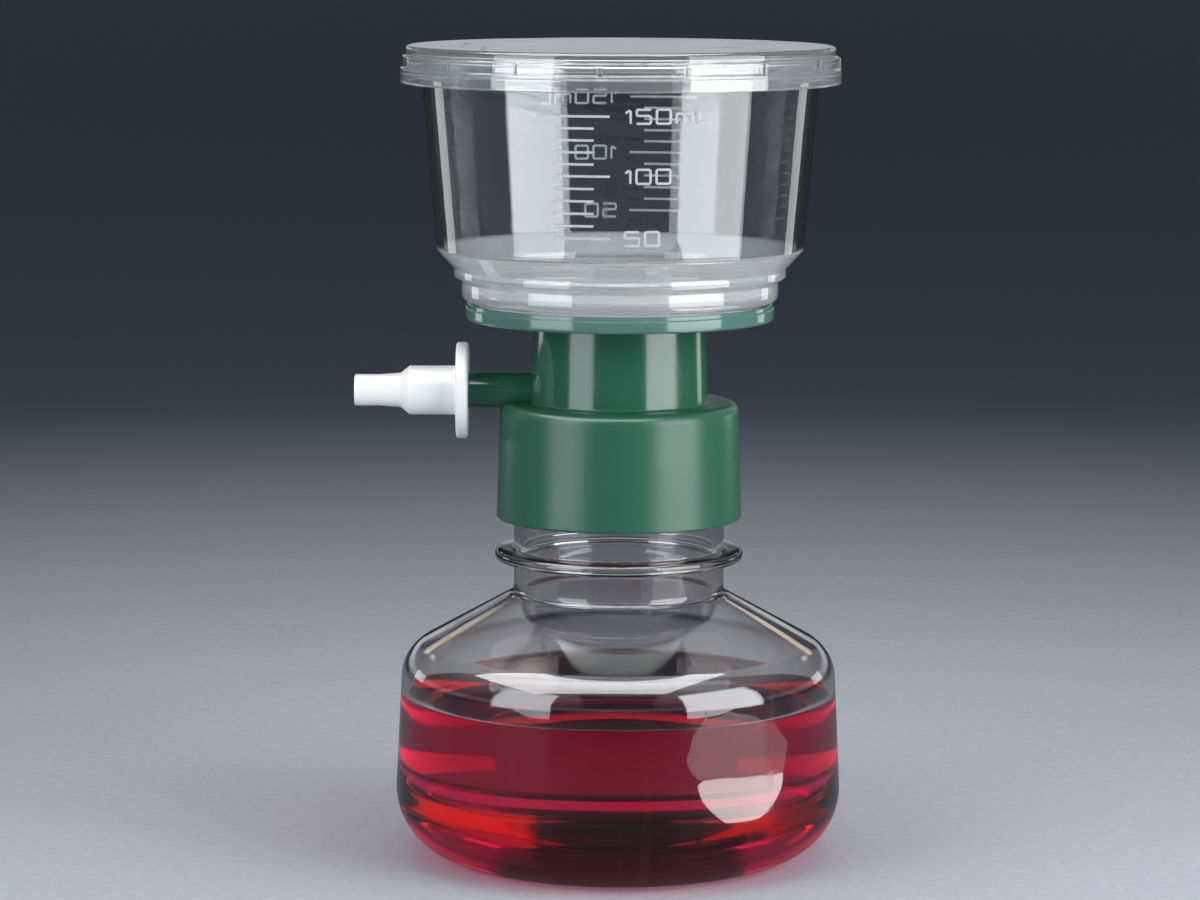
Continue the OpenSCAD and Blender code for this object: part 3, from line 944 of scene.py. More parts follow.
# %% Ribs with eased edges
def ribs(name, count, start, inner_r, outer_r, low, high, width, material, edge=0.12):
    """Blocks from one radius to another, spaced evenly round the axis, with eased edges."""
    settings = {
        "Count": count,
        "Start": math.radians(start),
        "Radius": 0.5 * (inner_r + outer_r) * MM,
        "Height": 0.5 * (low + high) * MM,
        "Size": ((outer_r - inner_r) * MM, width * MM, (high - low) * MM),
        "Material": material,
    }
    piece = grown(name, RIBS, [(0, 0, 0), (0, 0, 1)], settings)
    bevel = piece.modifiers.new("edge", "BEVEL")
    bevel.width, bevel.segments, bevel.limit_method = edge * MM, 2, "NONE"
    return plain_mesh(piece)


# %% [markdown]
# The side arm is a bar turned on the same lathe and laid over. The membrane rests on bars that
# run out from a hub and are tied by rings, so that the filtrate can drain between them.

# %% Holder: side arm, inner thread and membrane support
ARM_R, ARM_BORE = 3.55, 2.2
SUPPORT_PITCH, SUPPORT_W, SUPPORT_BARS, SUPPORT_RINGS, HUB_R = 4.9, 0.9, 12, 4, 2.1
arm_z = 0.5 * (adapter_low.z + adapter_high.z)
arm_end = -holder_low.x
arm_foot = TUBE_LOW_R - TUBE_WALL / 2


def lay_along_arm(piece, height):
    """Turns a piece that was spun round Z so that it lies along -X at the arm's height."""
    turn = Matrix.Translation((0, 0, height * MM)) @ Matrix.Rotation(-math.pi / 2, 4, "Y")
    piece.data.transform(turn)
    return piece


def bar(name, radius, start, end, material, edge=0.3):
    """A round bar along the side arm, from one distance to another."""
    points = eased([(0, start), (radius, start, edge), (radius, end, edge), (0, end)])
    return lay_along_arm(turned(name, points, material, 96), arm_z)


worked(holder, bar("arm", ARM_R, arm_foot, arm_end, GREEN_PLASTIC), "UNION")
worked(holder, bar("arm_bore", ARM_BORE, tube_bore - 1, arm_end + 1, GREEN_PLASTIC), "DIFFERENCE")
collar_thread_z = neck_thread_z - (THREAD_ROOT_W + THREAD_CREST_W) / 2 - THREAD_GAP
worked(
    holder,
    thread("collar_thread", collar_r, -THREAD_DEPTH, collar_thread_z, GREEN_PLASTIC),
    "UNION",
)
worked(
    holder,
    ribs("bars", SUPPORT_BARS, 0, HUB_R - 0.2, RING_R - RING_WALL + 0.4, plate_z, land_z,
         SUPPORT_W, GREEN_PLASTIC),
    "UNION",
)
hub = eased([(0, plate_z), (HUB_R, plate_z, 0.1), (HUB_R, land_z, 0.1), (0, land_z)])
worked(holder, turned("hub", hub, GREEN_PLASTIC, 48), "UNION")
for i in range(1, SUPPORT_RINGS + 1):
    low_r, high_r = SUPPORT_PITCH * i - SUPPORT_W / 2, SUPPORT_PITCH * i + SUPPORT_W / 2
    loop = [(low_r, plate_z + 0.3), (low_r, plate_z, 0.1), (high_r, plate_z, 0.1),
            (high_r, land_z, 0.1), (low_r, land_z, 0.1), (low_r, plate_z + 0.3)]
    worked(holder, turned("ring", eased(loop), GREEN_PLASTIC, 120), "UNION")

# %% [markdown]
# One moulding can have more than one finish. The rim of the plate is thin enough for light to
# come through. Some of that is real transmission, and its paler colour is painted light. The
# tube comes from a polished part of the tool. Each finish is given to the faces that lie in its
# place.

# %% Holder: rim and tube finishes
def across(face):
    return math.hypot(face.center.x, face.center.y) / MM


def is_rim(face):
    return across(face) > RING_R + LAND_EXTRA + 0.1 and face.center.z / MM > plate_z - 0.05


def is_tube(face):
    along = collar_top + 0.3 < face.center.z / MM < plate_z - 0.3
    return along and across(face) > TUBE_HIGH_R - 0.1 and not is_rim(face)


print("holder:", refinish(holder, GREEN_RIM_LIT_THROUGH, is_rim), "faces in the rim")
print("holder:", refinish(holder, GREEN_TUBE, is_tube), "faces on the tube")
print("holder:", len(holder.data.polygons), "faces,", face_outwards(holder), "open edges")
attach(holder, "filter_head")
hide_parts("filter_holder")

# %% [markdown]
# ## The chamber
# A moulding has nearly the same wall everywhere. Its inner side is its outer side moved inwards
# by the wall's thickness, with each corner where the moved lines meet. The chamber and the lid
# are both drawn from their outer side in this way.

# %% The inner side of an even wall
def inner_side(path, wall):
    """A path moved to its left by a wall thickness, with mitred corners."""
    flat = [Vector(p[:2]) for p in path]
    sides = [(b - a).normalized().orthogonal() for a, b in zip(flat, flat[1:])]
    first, last = sides[0], sides[-1]
    ends = [
        Vector((wall / n.x, 0)) if abs(n.x) > abs(n.y) else Vector((0, wall / n.y))
        for n in (first, last)
    ]
    middle = [
        point + wall * (n + m) / (1 + n.dot(m)) for point, n, m in zip(flat[1:], sides, sides[1:])
    ]
    return [tuple(p) for p in [flat[0] + ends[0]] + middle + [flat[-1] + ends[1]]]


print("A wall's inner side for a square corner:", inner_side([(5, 0), (5, 5), (0, 5)], 1))

# %% [markdown]
# The chamber is a clear cup without a floor. Its wall leans out a little, then comes in below
# by a sloping band and two steps to the ring that stands in the plate. A narrow rim at the top
# locates the lid. Pieces that touch are kept a hair apart, so that two clear faces never lie in
# the same place.

# %% Chamber
HAIR = 0.03
CHAMBER_WALL, CHAMBER_LEAN = 1.3, 3.4
CHAMBER_TOP_R, RIM_DEPTH = 39.45, 1.6
CHAMBER_RISE, SLOPE_W = 38.7, 3.35
STEP_H, CHAMFER_W, CHAMFER_H, LEDGE_W, LEDGE_H, RING_H = 1.5, 1.5, 1.1, 3.5, 3.9, 2.2
FOOT_ROUND = 2.4
cup_top = cup_high.z
foot_z = cup_top - CHAMBER_RISE
foot_r = CHAMBER_TOP_R - CHAMBER_LEAN
step_r = foot_r - SLOPE_W
ledge_r = step_r - CHAMFER_W
ledge_z = cup_low.z + RING_H
cup_side = [
    (ledge_r - LEDGE_W, cup_low.z),
    (ledge_r - LEDGE_W, ledge_z, 0.4),
    (ledge_r, ledge_z, FOOT_ROUND),
    (ledge_r, ledge_z + LEDGE_H, 0.3),
    (step_r, ledge_z + LEDGE_H + CHAMFER_H, 0.3),
    (step_r, ledge_z + LEDGE_H + CHAMFER_H + STEP_H, 0.4),
    (foot_r, foot_z, 0.8),
    (CHAMBER_TOP_R, cup_top),
]
cup_inner = inner_side(cup_side, CHAMBER_WALL)
inner_ease = (0, 0.4, 1.2, 0.3, 0.3, 0.4, 0.8, 0)
cup_inner = [(*p, e) for p, e in zip(cup_inner, inner_ease)]
rim_low = cup_top - RIM_DEPTH
rim_root = foot_r + (rim_low - foot_z) * CHAMBER_LEAN / CHAMBER_RISE
mouth = cup_inner[-1][0]
start = (cup_side[0][0], cup_low.z + 0.5)
loop = [start] + cup_side[1:-1] + [
    (rim_root, rim_low, 0.2),
    (cup_high.x, rim_low, 0.4),
    (cup_high.x, cup_top, 0.4),
    (mouth, cup_top, 0.4),
]
loop += cup_inner[-2:0:-1] + [
    (cup_inner[0][0], cup_low.z + HAIR, 0.2), (cup_side[0][0], cup_low.z + HAIR, 0.2), start,
]
chamber = turned("chamber", eased(loop), CHAMBER_PLASTIC)
# The foot takes the milkier finish: partly haze, partly painted light on its steps.
foot_faces = refinish(chamber, CHAMBER_FOOT_HAZE_AND_LIGHT, lambda face: face.center.z < (foot_z + 0.4) * MM)
print("chamber:", foot_faces, "faces in the foot")
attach(chamber, "filter_head")
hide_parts("upper_chamber")

# %% [markdown]
# ## The graduations
# The scale is moulded on the wall twice, on the front and on the back, as thin frosted strokes:
# a short tick for each 10 mL, a long one for each 50 mL, and blocky numerals. Each stroke is
# drawn flat, as a line with a width. A tree gives the lines their section and then bends the
# whole flat drawing round the leaning wall, so it follows the surface exactly.

# %% The tree that lays strokes on the wall
def stroke_tree():
    tree, given = new_tree(
        "Strokes on the wall",
        Width=0.0005,
        Thickness=0.0002,
        Lift=0.0,
        Centre=0.0,
        Foot_radius=0.03,
        Foot_height=0.0,
        Lean=0.0,
        Material=None,
    )
    lines = add(tree, "GeometryNodeMeshToCurve", given["Geometry"]).outputs[0]
    upright = add(tree, "GeometryNodeSetCurveNormal", lines, mode="Z_UP").outputs[0]
    profile = add(
        tree, "GeometryNodeCurvePrimitiveQuadrilateral", given["Width"], given["Thickness"]
    ).outputs[0]
    body = add(tree, "GeometryNodeCurveToMesh", upright, profile)
    plug(tree, True, body.inputs["Fill Caps"])
    flat = add(
        tree, "ShaderNodeSeparateXYZ", add(tree, "GeometryNodeInputPosition").outputs[0]
    ).outputs
    above_foot = maths(tree, "SUBTRACT", flat["Y"], given["Foot_height"])
    wall = maths(
        tree, "ADD", given["Foot_radius"], maths(tree, "MULTIPLY", above_foot, given["Lean"])
    )
    radius = maths(tree, "ADD", maths(tree, "ADD", wall, flat["Z"]), given["Lift"])
    angle = maths(tree, "ADD", given["Centre"], maths(tree, "DIVIDE", flat["X"], wall))
    place = add(
        tree,
        "ShaderNodeCombineXYZ",
        maths(tree, "MULTIPLY", radius, maths(tree, "COSINE", angle)),
        maths(tree, "MULTIPLY", radius, maths(tree, "SINE", angle)),
        flat["Y"],
    ).outputs[0]
    moved = add(tree, "GeometryNodeSetPosition", body.outputs[0])
    plug(tree, place, moved.inputs["Position"])
    finish_tree(tree, moved.outputs[0], given["Material"])
    return tree


STROKES = stroke_tree()
print("The stroke tree has", len(STROKES.nodes), "nodes")

# %% [markdown]
# Each numeral is a few lines in a unit square, so it looks like no typeface in particular. The
# volumes between two numbered marks are spaced evenly, which is near enough on this wall.

# %% The scale as flat strokes
GLYPH = {
    "0": [[(0.5, 0), (1, 0), (1, 1), (0, 1), (0, 0), (0.5, 0)]],
    "1": [[(0, 0.74), (0.36, 1), (0.36, 0)]],
    "5": [[(1, 1), (0, 1), (0, 0.56), (1, 0.56), (1, 0), (0, 0)]],
    "m": [[(0, 0), (0, 0.7), (1.25, 0.7), (1.25, 0)], [(0.62, 0.7), (0.62, 0)]],
    "L": [[(0, 1), (0, 0), (0.8, 0)]],
}
GLYPH_W = {"0": 1.0, "1": 0.36, "5": 1.0, "m": 1.25, "L": 0.8}
GLYPH_SIZE, GLYPH_GAP, GLYPH_START = 2.65, 1.15, 0.75
STROKE_STEP = 0.9
LEVELS = {50: 125.8, 100: 137.6, 150: 148.9}
TICKS = {"short": (-13.0, -5.2), "long": (-13.0, -2.1), "top": (-16.6, -2.2)}


def level_of(volume):
    """Height of a volume's mark, between the numbered marks on each side of it."""
    low = 50 if volume < 100 else 100
    share = (volume - low) / 50
    return LEVELS[low] + share * (LEVELS[low + 50] - LEVELS[low])


def fine(points):
    """The same stroke with no piece longer than the step, so that it can bend."""
    made = [points[0]]
    for a, b in zip(points, points[1:]):
        cuts = max(1, math.ceil(math.dist(a, b) / STROKE_STEP))
        made += [
            (a[0] + (b[0] - a[0]) * i / cuts, a[1] + (b[1] - a[1]) * i / cuts)
            for i in range(1, cuts + 1)
        ]
    return made


def scale_strokes():
    strokes = []
    for volume in range(50, 151, 10):
        kind = "top" if volume == 150 else "long" if volume % 50 == 0 else "short"
        height = level_of(volume)
        strokes.append([(TICKS[kind][0], height), (TICKS[kind][1], height)])
    for volume, height in LEVELS.items():
        at = GLYPH_START
        for letter in f"{volume}" + ("mL" if volume == 150 else ""):
            for line in GLYPH[letter]:
                strokes.append([
                    (at + x * GLYPH_SIZE, height + (y - 0.5) * GLYPH_SIZE) for x, y in line
                ])
            at += GLYPH_W[letter] * GLYPH_SIZE + GLYPH_GAP
    return strokes


print("scale:", len(scale_strokes()), "strokes")

# %% [markdown]
# All the strokes go into one flat drawing of points and edges, which the tree bends onto the
# wall twice. A closed numeral such as 0 ends on its own first point, so that point is left out
# and one more edge closes the loop.

# %% Graduations on the front and on the back
STROKE_W, STROKE_T, STROKE_LIFT, STROKE_ROUND, STROKE_CRISP = 0.45, 0.2, 0.04, 0.35, 25
points, edges = [], []
for stroke in scale_strokes():
    line = fine(eased(stroke, STROKE_ROUND))
    closed = math.dist(line[0], line[-1]) < 1e-6
    line = line[:-1] if closed else line
    first = len(points)
    points += [(x, y, 0) for x, y in line]
    edges += [(first + i, first + i + 1) for i in range(len(line) - 1)]
    if closed:
        edges.append((len(points) - 1, first))
for name, centre in (("graduations_front", -90), ("graduations_back", 90)):
    settings = {
        "Width": STROKE_W * MM,
        "Thickness": STROKE_T * MM,
        "Lift": STROKE_LIFT * MM,
        "Centre": math.radians(centre),
        "Foot_radius": foot_r * MM,
        "Foot_height": foot_z * MM,
        "Lean": CHAMBER_LEAN / CHAMBER_RISE,
        "Material": GRADUATION,
    }
    marks = shade(grown(name, STROKES, points, settings, edges), STROKE_CRISP)
    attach(marks, "filter_head")

# %% [markdown]
# ## The lid
# The lid drops over the rim of the chamber. Its side steps outwards twice on the way down, and
# small ribs on the middle band give the fingers a hold.

# %% Lid
LID_WALL, LID_BAND_H, LID_MID_H, LID_STEP, LID_FLARE, LID_EDGE = 1.2, 1.8, 2.3, 0.5, 0.1, 1.2
LID_RIBS, LID_RIB_W, LID_RIB_T, LID_RIB_START = 16, 0.9, 0.4, 17
lid_top, lid_bottom = cover_high.z, cover_low.z
skirt_r = cover_high.x - LID_FLARE
mid_r = skirt_r - LID_STEP
band_r = mid_r - LID_STEP
mid_z = lid_top - LID_BAND_H
skirt_z = mid_z - LID_MID_H
lid_side = [
    (skirt_r + LID_FLARE, lid_bottom),
    (skirt_r, skirt_z - LID_STEP / 2, 0.25),
    (mid_r, skirt_z, 0.25),
    (mid_r, mid_z - LID_STEP / 2, 0.25),
    (band_r, mid_z, 0.25),
]
lid_inner = inner_side(lid_side + [(band_r, lid_top), (0, lid_top)], LID_WALL - HAIR)
lid_inner = [(*p, 0.25) for p in lid_inner[:-2]] + [(*lid_inner[-2], 0.6), lid_inner[-1]]
lip = 0.3
lid_loop = (
    [(0, lid_top), (band_r, lid_top, LID_EDGE)]
    + lid_side[:0:-1]
    + [(*lid_side[0], lip), (lid_inner[0][0], lid_bottom, lip)]
    + lid_inner[1:]
)
lid = turned("cover_lid", eased(lid_loop), LID_PLASTIC)
worked(
    lid,
    ribs("lid_ribs", LID_RIBS, LID_RIB_START, mid_r - LID_WALL / 2, mid_r + LID_RIB_T,
         skirt_z - LID_WALL / 2, mid_z - LID_STEP / 2, LID_RIB_W, LID_PLASTIC, 0.15),
    "UNION",
)
print("lid:", len(lid.data.polygons), "faces,", face_outwards(lid), "open edges")
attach(lid, "cover")
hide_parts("lid")

# %% [markdown]
# ## The hose adapter and the hidden parts
# The adapter is pushed onto the side arm. It has a flange to pull it off by, a socket, and a
# nozzle for the hose. The membrane, the gasket and the wadding plug keep their CAD shapes,
# which are right, and get their finishes.

# %% Adapter, membrane, gasket and plug
SOCKET_R, SOCKET_WALL, FLANGE_R, FLANGE_T = 3.63, 1.2, 9.5, 2.4
NOZZLE_TIP_R, NOZZLE_ROOT_R, NOZZLE_BORE_R, NOZZLE_LEN, NOZZLE_LAND = 3.1, 3.4, 1.8, 9.1, 5.0
flange_x, nozzle_end = -adapter_high.x, -adapter_low.x
adapter_end = nozzle_end - NOZZLE_LEN
socket_end = adapter_end - SOCKET_WALL
adapter_r = SOCKET_R + SOCKET_WALL
adapter_loop = [
    (SOCKET_R, 0.5 * (flange_x + socket_end)),
    (SOCKET_R, flange_x, 0.3),
    (FLANGE_R, flange_x, 0.6),
    (FLANGE_R, flange_x + FLANGE_T, 0.6),
    (adapter_r, flange_x + FLANGE_T, 0.4),
    (adapter_r, socket_end - SOCKET_WALL / 2, 0.4),
    (NOZZLE_ROOT_R, adapter_end, 0.5),
    (NOZZLE_TIP_R, nozzle_end - NOZZLE_LAND, 0.5),
    (NOZZLE_TIP_R, nozzle_end, 0.35),
    (NOZZLE_BORE_R, nozzle_end, 0.3),
    (NOZZLE_BORE_R, socket_end, 0.2),
    (SOCKET_R, socket_end, 0.2),
    (SOCKET_R, 0.5 * (flange_x + socket_end)),
]
adapter = lay_along_arm(turned("hose_adapter", eased(adapter_loop), WHITE_PLASTIC, 160), arm_z)
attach(adapter, "hose_adapter")
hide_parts("tubing_adapter")
for node, material in (
    ("membrane", MEMBRANE), ("neck_gasket", GASKET), ("side_arm_plug", WADDING)
):
    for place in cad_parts[node].material_slots:
        place.material = material

# %% [markdown]
# ## Floor, backdrop and lamps
# Clear plastic has no colour of its own: it is seen by what it mirrors and bends, so the stage
# is part of the finish. The floor is pale paper under the object, and its colour darkens with
# distance. That darkening is painted shade for light that falls off far from the lamps, and it
# makes the far floor a dark backdrop that a clear wall reads best against. The paper is darker
# where a clear or polished face mirrors it, or its image would lie over the red liquid as a veil.

# %% Floor
FLOOR_R, FLOOR_DROP = 9.0, 0.00005
PAPER_LIGHT, PAPER_DARK = (0.42, 0.425, 0.485), (0.47, 0.475, 0.54)
PAPER_FAR_SHADE = (0.024, 0.033, 0.050)
FADE_START, FADE_END = 0.03, 0.80
SPECKLE_SCALE, SPECKLE_DETAIL, SPECKLE_BITE, SPECKLE_EDGE = 420.0, 4.0, 0.65, (0.35, 0.65)
PAPER_ROUGHNESS, PAPER_GLOSS, MIRRORED_DIM = 0.8, 0.1, 0.6


def blend(tree, share, first, second):
    """A colour between two others, by a share from 0 to 1."""
    mix = add(tree, "ShaderNodeMix", data_type="RGBA")
    for value, socket in ((share, 0), (first, 6), (second, 7)):
        value = (*value, 1.0) if isinstance(value, tuple) else value
        plug(tree, value, mix.inputs[socket])
    return mix.outputs[2]


bpy.ops.mesh.primitive_circle_add(vertices=96, radius=FLOOR_R, fill_type="NGON")
floor = bpy.context.object
floor.name = "floor"
floor.location.z = -FLOOR_DROP
paper = bpy.data.materials.new("Floor paper")
paper.use_nodes = True
tree = paper.node_tree
shader = tree.nodes["Principled BSDF"].inputs
path = add(tree, "ShaderNodeLightPath").outputs
place = add(tree, "ShaderNodeTexCoord").outputs["Object"]
fibre = noise(tree, place, SPECKLE_SCALE, SPECKLE_DETAIL, SPECKLE_BITE)
speckle = add(tree, "ShaderNodeMapRange", fibre, *SPECKLE_EDGE)
tone = blend(tree, speckle.outputs[0], PAPER_LIGHT, PAPER_DARK)
away = add(tree, "ShaderNodeVectorMath", place, operation="LENGTH").outputs["Value"]
share = add(tree, "ShaderNodeMapRange", away, FADE_START, FADE_END,
            interpolation_type="SMOOTHSTEP")
# The paper's colour darkens with distance: painted shade for light falling off far from the
# lamps.
faded = blend(tree, share.outputs[0], tone, PAPER_FAR_SHADE)
lost = maths(tree, "MULTIPLY", path["Is Glossy Ray"], MIRRORED_DIM)
shown = add(tree, "ShaderNodeVectorMath", faded, operation="SCALE")
plug(tree, maths(tree, "SUBTRACT", 1.0, lost), shown.inputs["Scale"])
plug(tree, shown.outputs[0], shader["Base Color"])
plug(tree, PAPER_ROUGHNESS, shader["Roughness"])
plug(tree, PAPER_GLOSS, shader["Specular IOR Level"])
floor.data.materials.append(paper)
print("floor: pale to", FADE_START, "m and dark from", FADE_END, "m")

# %% [markdown]
# Light that comes through the filtrate tints the paper round the foot. A path tracer finds such
# light slowly, so a small red glow in the floor stands for it. The camera sees more of it than
# it gives off, so that it hardly tints the bottle.

# %% Floor: the glow round the foot
GLOW_START, GLOW_END = 0.032, 0.048
GLOW_SEEN, GLOW_CAST = (0.15, 0.02, 0.035), (0.04, 0.03, 0.03)
glow = add(tree, "ShaderNodeMapRange", away, GLOW_START, GLOW_END, 1.0, 0.0,
           interpolation_type="SMOOTHSTEP")
plug(tree, blend(tree, path["Is Camera Ray"], GLOW_CAST, GLOW_SEEN), shader["Emission Color"])
plug(tree, glow.outputs[0], shader["Emission Strength"])
print("glow: out to", GLOW_END, "m from the axis")

# %% [markdown]
# The world is what clear and polished pieces show of the room. Under its pale ceiling the
# camera sees only a dark backdrop. Rays that were bent or mirrored also find a pale strip low
# over the horizon, which lights the red liquid from behind, and a weaker and taller strip to
# both sides, for the liquid's corners. Matt pieces get an even light instead, so that none of
# these shapes changes their colours. How high a ray points is the Z of its direction, and each
# pair of numbers is where a shape starts to fade and where it has faded.

# %% World
FAR, WALL, CEILING = (0.028, 0.035, 0.047), (0.45, 0.47, 0.50), (0.74, 0.76, 0.80)
AMBIENT, SIDE_STRIP = 0.38, 0.35
ASIDE = (0.29, 0.34)
STRIP_FOOT, STRIP_TOP, SIDE_STRIP_TOP = (0.028, 0.034), (0.155, 0.135), (0.46, 0.40)
CEILING_EDGE, SIDE_CEILING_EDGE = (0.68, 0.76), (0.30, 0.70)


def between(tree, value, start, end):
    """0 on one side of a range and 1 on the other, with a ramp between."""
    return add(tree, "ShaderNodeMapRange", value, start, end).outputs[0]


world = bpy.data.worlds.new("Studio")
bpy.context.scene.world = world
world.use_nodes = True
tree = world.node_tree
tree.nodes.clear()
path = add(tree, "ShaderNodeLightPath").outputs
up = add(tree, "ShaderNodeSeparateXYZ", add(tree, "ShaderNodeTexCoord").outputs["Generated"])
rising = up.outputs["Z"]
aside = between(tree, maths(tree, "ABSOLUTE", up.outputs["X"]), *ASIDE)
foot, top = between(tree, rising, *STRIP_FOOT), between(tree, rising, *STRIP_TOP)
low_strip = maths(tree, "MULTIPLY", foot, top)
side_strip = maths(tree, "MULTIPLY", between(tree, rising, *SIDE_STRIP_TOP), aside)
side_strip = maths(tree, "MULTIPLY", side_strip, SIDE_STRIP)
unseen = maths(tree, "SUBTRACT", 1.0, path["Is Camera Ray"])
strip = maths(tree, "MULTIPLY", maths(tree, "MAXIMUM", low_strip, side_strip), unseen)
side_ceiling = maths(tree, "MULTIPLY", between(tree, rising, *SIDE_CEILING_EDGE), aside)
ceiling = maths(tree, "MAXIMUM", between(tree, rising, *CEILING_EDGE), side_ceiling)
seen = blend(tree, ceiling, blend(tree, strip, FAR, WALL), CEILING)
backdrop = add(tree, "ShaderNodeBackground", seen, 1.0).outputs[0]
ambient = add(tree, "ShaderNodeBackground", (1.0, 1.0, 1.0, 1.0), AMBIENT).outputs[0]
sharp = maths(tree, "MAXIMUM", path["Is Glossy Ray"], path["Is Transmission Ray"])
sharp = maths(tree, "MAXIMUM", path["Is Camera Ray"], sharp)
mix = add(tree, "ShaderNodeMixShader", sharp, ambient, backdrop)
out = tree.nodes.new("ShaderNodeOutputWorld")
tree.links.new(mix.outputs[0], out.inputs[0])
print("world:", len(tree.nodes), "nodes")

# %% [markdown]
# The lamps are upright panels. An area lamp is given here by its radiance, that is by how bright
# its face looks, because that is what shows in a polished wall. A lit card is the other kind of
# light: a mesh that shines, which only chosen rays can see.

# %% Panels and cards
def area_lamp(name, width, height, radiance, place):
    """A flat rectangular lamp that the camera doesn't see."""
    lamp = bpy.data.lights.new(name, "AREA")
    lamp.shape, lamp.size, lamp.size_y = "RECTANGLE", width, height
    lamp.energy = radiance * math.pi * width * height
    panel = bpy.data.objects.new(name, lamp)
    bpy.context.scene.collection.objects.link(panel)
    panel.location = place
    panel.visible_camera = False
    return panel


def softbox(name, azimuth, distance, width, low, high, radiance):
    """An upright panel that faces the axis. The azimuth is taken from the front, to the right."""
    a = math.radians(azimuth)
    place = Vector((distance * math.sin(a), -distance * math.cos(a), 0.5 * (low + high)))
    panel = area_lamp(name, width, high - low, radiance, place)
    aim = Vector((0, 0, place.z)) - place
    panel.rotation_euler = aim.to_track_quat("-Z", "Y").to_euler()
    return panel


def lit_card(name, points, colour, radiance):
    """A flat staged card that shines, and that neither the camera nor matt pieces see."""
    mesh = bpy.data.meshes.new(name)
    mesh.from_pydata(points, [], [range(len(points))])
    card = bpy.data.objects.new(name, mesh)
    bpy.context.scene.collection.objects.link(card)
    lit = bpy.data.materials.new(name)
    lit.use_nodes = True
    shader = lit.node_tree.nodes["Principled BSDF"]
    shader.inputs["Base Color"].default_value = (0.0, 0.0, 0.0, 1.0)
    shader.inputs["Emission Color"].default_value = (*colour, 1.0)
    shader.inputs["Emission Strength"].default_value = radiance
    mesh.materials.append(lit)
    card.visible_camera = card.visible_diffuse = card.visible_shadow = False
    return card, lit


print("Kinds of light:", [kind.__name__ for kind in (area_lamp, softbox, lit_card)])

# %% [markdown]
# Two tall softboxes give the long white strips on the chamber and on the collar. Seen from
# behind, a clear cup would show a softbox straight through it and turn white. So clear pieces
# see a card in the softbox's place, which shines in full once a ray has been mirrored on its
# way and only weakly before that.

# %% Softboxes
def shown_in_clear(panel, radiance, share):
    """Clear pieces mirror a panel in full, but show only a share of it straight through."""
    w, h = panel.data.size / 2, panel.data.size_y / 2
    outline = [(-w, -h, 0), (w, -h, 0), (w, h, 0), (-w, h, 0)]
    card, lit = lit_card(panel.name + "_shown", outline, panel.data.color, radiance)
    card.location, card.rotation_euler = panel.location, panel.rotation_euler
    card.visible_glossy = panel.visible_transmission = False
    lit.cycles.emission_sampling = "NONE"
    tree = lit.node_tree
    depth = add(tree, "ShaderNodeLightPath").outputs["Glossy Depth"]
    unmirrored = maths(tree, "LESS_THAN", depth, 0.5)
    lost = maths(tree, "MULTIPLY", unmirrored, radiance * (1.0 - share))
    strength = maths(tree, "SUBTRACT", radiance, lost)
    tree.links.new(strength, tree.nodes["Principled BSDF"].inputs["Emission Strength"])


# Each row is a name, an azimuth, a width, a radiance, a colour and the share shown straight.
SOFTBOXES = (
    ("softbox_left", -51.0, 0.29, 4.4, (0.90, 0.97, 1.0), 0.12),
    ("softbox_right", 56.5, 0.39, 6.4, (0.95, 0.98, 1.0), 0.08),
)
BOX_AWAY, BOX_H = 0.48, 0.42
for name, azimuth, width, radiance, colour, share in SOFTBOXES:
    box = softbox(name, azimuth, BOX_AWAY, width, 0.0, BOX_H, radiance)
    box.data.color = colour
    shown_in_clear(box, radiance, share)
    print(name, "at", azimuth, "degrees, radiance", radiance)

# %% [markdown]
# Smaller lights draw the bottle. Warm cards behind it are bent by the shoulder into two tan
# lines, and cards to the sides brighten the edges of its wall. They are panels like the
# softboxes, only small and far round.

# %% Cards behind and beside the bottle
# Each row is an azimuth, a width, and how high the card starts and ends.
REAR_CARDS = ((157.0, 0.12, 0.27, 0.33), (148.0, 0.10, 0.36, 0.41))
REAR_AWAY, REAR_RADIANCE, REAR_WARM = 0.80, 1.1, (1.0, 0.84, 0.62)
EDGE_AZIMUTH = 127.0
EDGE_CARD = {"distance": 0.45, "width": 0.09, "low": 0.045, "high": 0.12, "radiance": 2.2}
for side in (-1, 1):
    for azimuth, width, low, high in REAR_CARDS:
        rear = softbox("rear_card", azimuth * side, REAR_AWAY, width, low, high, REAR_RADIANCE)
        rear.data.color = REAR_WARM
    edge = softbox("edge_card", EDGE_AZIMUTH * side, **EDGE_CARD)
    edge.visible_diffuse = edge.visible_transmission = False
print("cards:", len(REAR_CARDS) + 1, "on each side of the bottle")
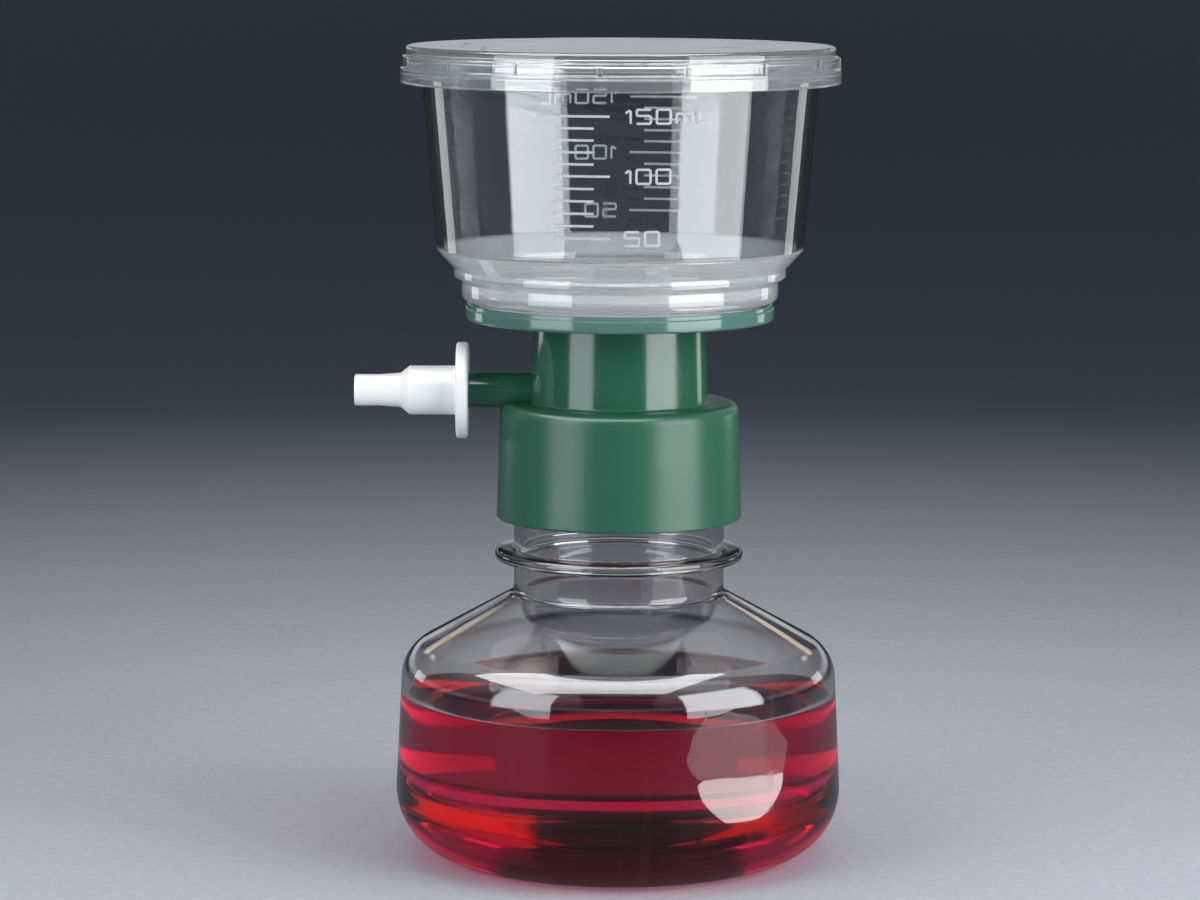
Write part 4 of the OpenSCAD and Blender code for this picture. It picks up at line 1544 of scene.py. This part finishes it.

# %% [markdown]
# Two cards on the floor beside the bottle make one round reflection low on its side: a bright
# card near the bottle, a faint one beyond, with a shared edge that shows as a straight line.
# Each outline is drawn from a few listed points, in metres on the floor, and its corners are
# eased like those of any other outline.

# %% Cards on the floor
CARD_HIGH, CARD_ROUND, FLOOR_WARM = 0.002, 0.03, (1.0, 0.97, 0.94)
SHARED_EDGE = [(0.169, -0.020), (0.174, -0.070), (0.156, -0.127), (0.124, -0.170)]
NEAR_EDGE = [(0.102, -0.133), (0.090, -0.095), (0.079, -0.066), (0.110, -0.044), (0.150, -0.023)]
FAR_EDGE = [(0.150, -0.240), (0.215, -0.290), (0.300, -0.330), (0.380, -0.250),
            (0.350, -0.130), (0.290, -0.030), (0.225, 0.000)]
for name, own_edge, radiance in (("near_card", NEAR_EDGE, 9.0), ("far_card", FAR_EDGE, 1.2)):
    outline = eased(SHARED_EDGE + own_edge, CARD_ROUND)
    card, _ = lit_card(name, [(x, y, CARD_HIGH) for x, y in outline], FLOOR_WARM, radiance)
    card.visible_transmission = False
    print(name, "has", len(outline), "corners")

# %% [markdown]
# Overhead there are two panels in nearly one place. The wide one is only mirrored, and the
# small one lights the floor and the matt pieces.

# %% Overhead panels
overhead = area_lamp("overhead", width=0.9, height=0.9, radiance=1.3, place=(0.0, -0.1, 1.3))
overhead.visible_glossy = False
sheen_place = (-0.35, -0.3225, 1.31)
sheen = area_lamp("overhead_sheen", width=2.0, height=1.555, radiance=9.0, place=sheen_place)
sheen.visible_diffuse = sheen.visible_transmission = False

# %% [markdown]
# ## Camera
# A long lens from just above the lid's level, looking down by a few degrees, keeps the sides
# nearly parallel, as in a catalogue picture.

# %% Camera
LENS, SENSOR, BOUNCES = 127.5, 36.0, 24
CAMERA_PLACE = (-0.0038, -0.834, 0.1922)
PITCH_DOWN, ROLL = 7.6, 0.2
camera = bpy.data.cameras.new("camera")
camera.lens, camera.sensor_width = LENS, SENSOR
camera.clip_start, camera.clip_end = 0.05, 60.0
view = bpy.data.objects.new("camera", camera)
bpy.context.scene.collection.objects.link(view)
view.matrix_world = (
    Matrix.Translation(CAMERA_PLACE)
    @ Matrix.Rotation(math.radians(90 - PITCH_DOWN), 4, "X")
    @ Matrix.Rotation(math.radians(ROLL), 4, "Z")
)
scene = bpy.context.scene
scene.camera = view
scene.view_settings.view_transform = "Standard"
scene.cycles.max_bounces = BOUNCES
scene.cycles.transmission_bounces = BOUNCES
scene.cycles.transparent_max_bounces = BOUNCES
scene.cycles.caustics_reflective = False
scene.cycles.caustics_refractive = False
print("camera:", LENS, "mm lens, looking down by", PITCH_DOWN, "degrees")
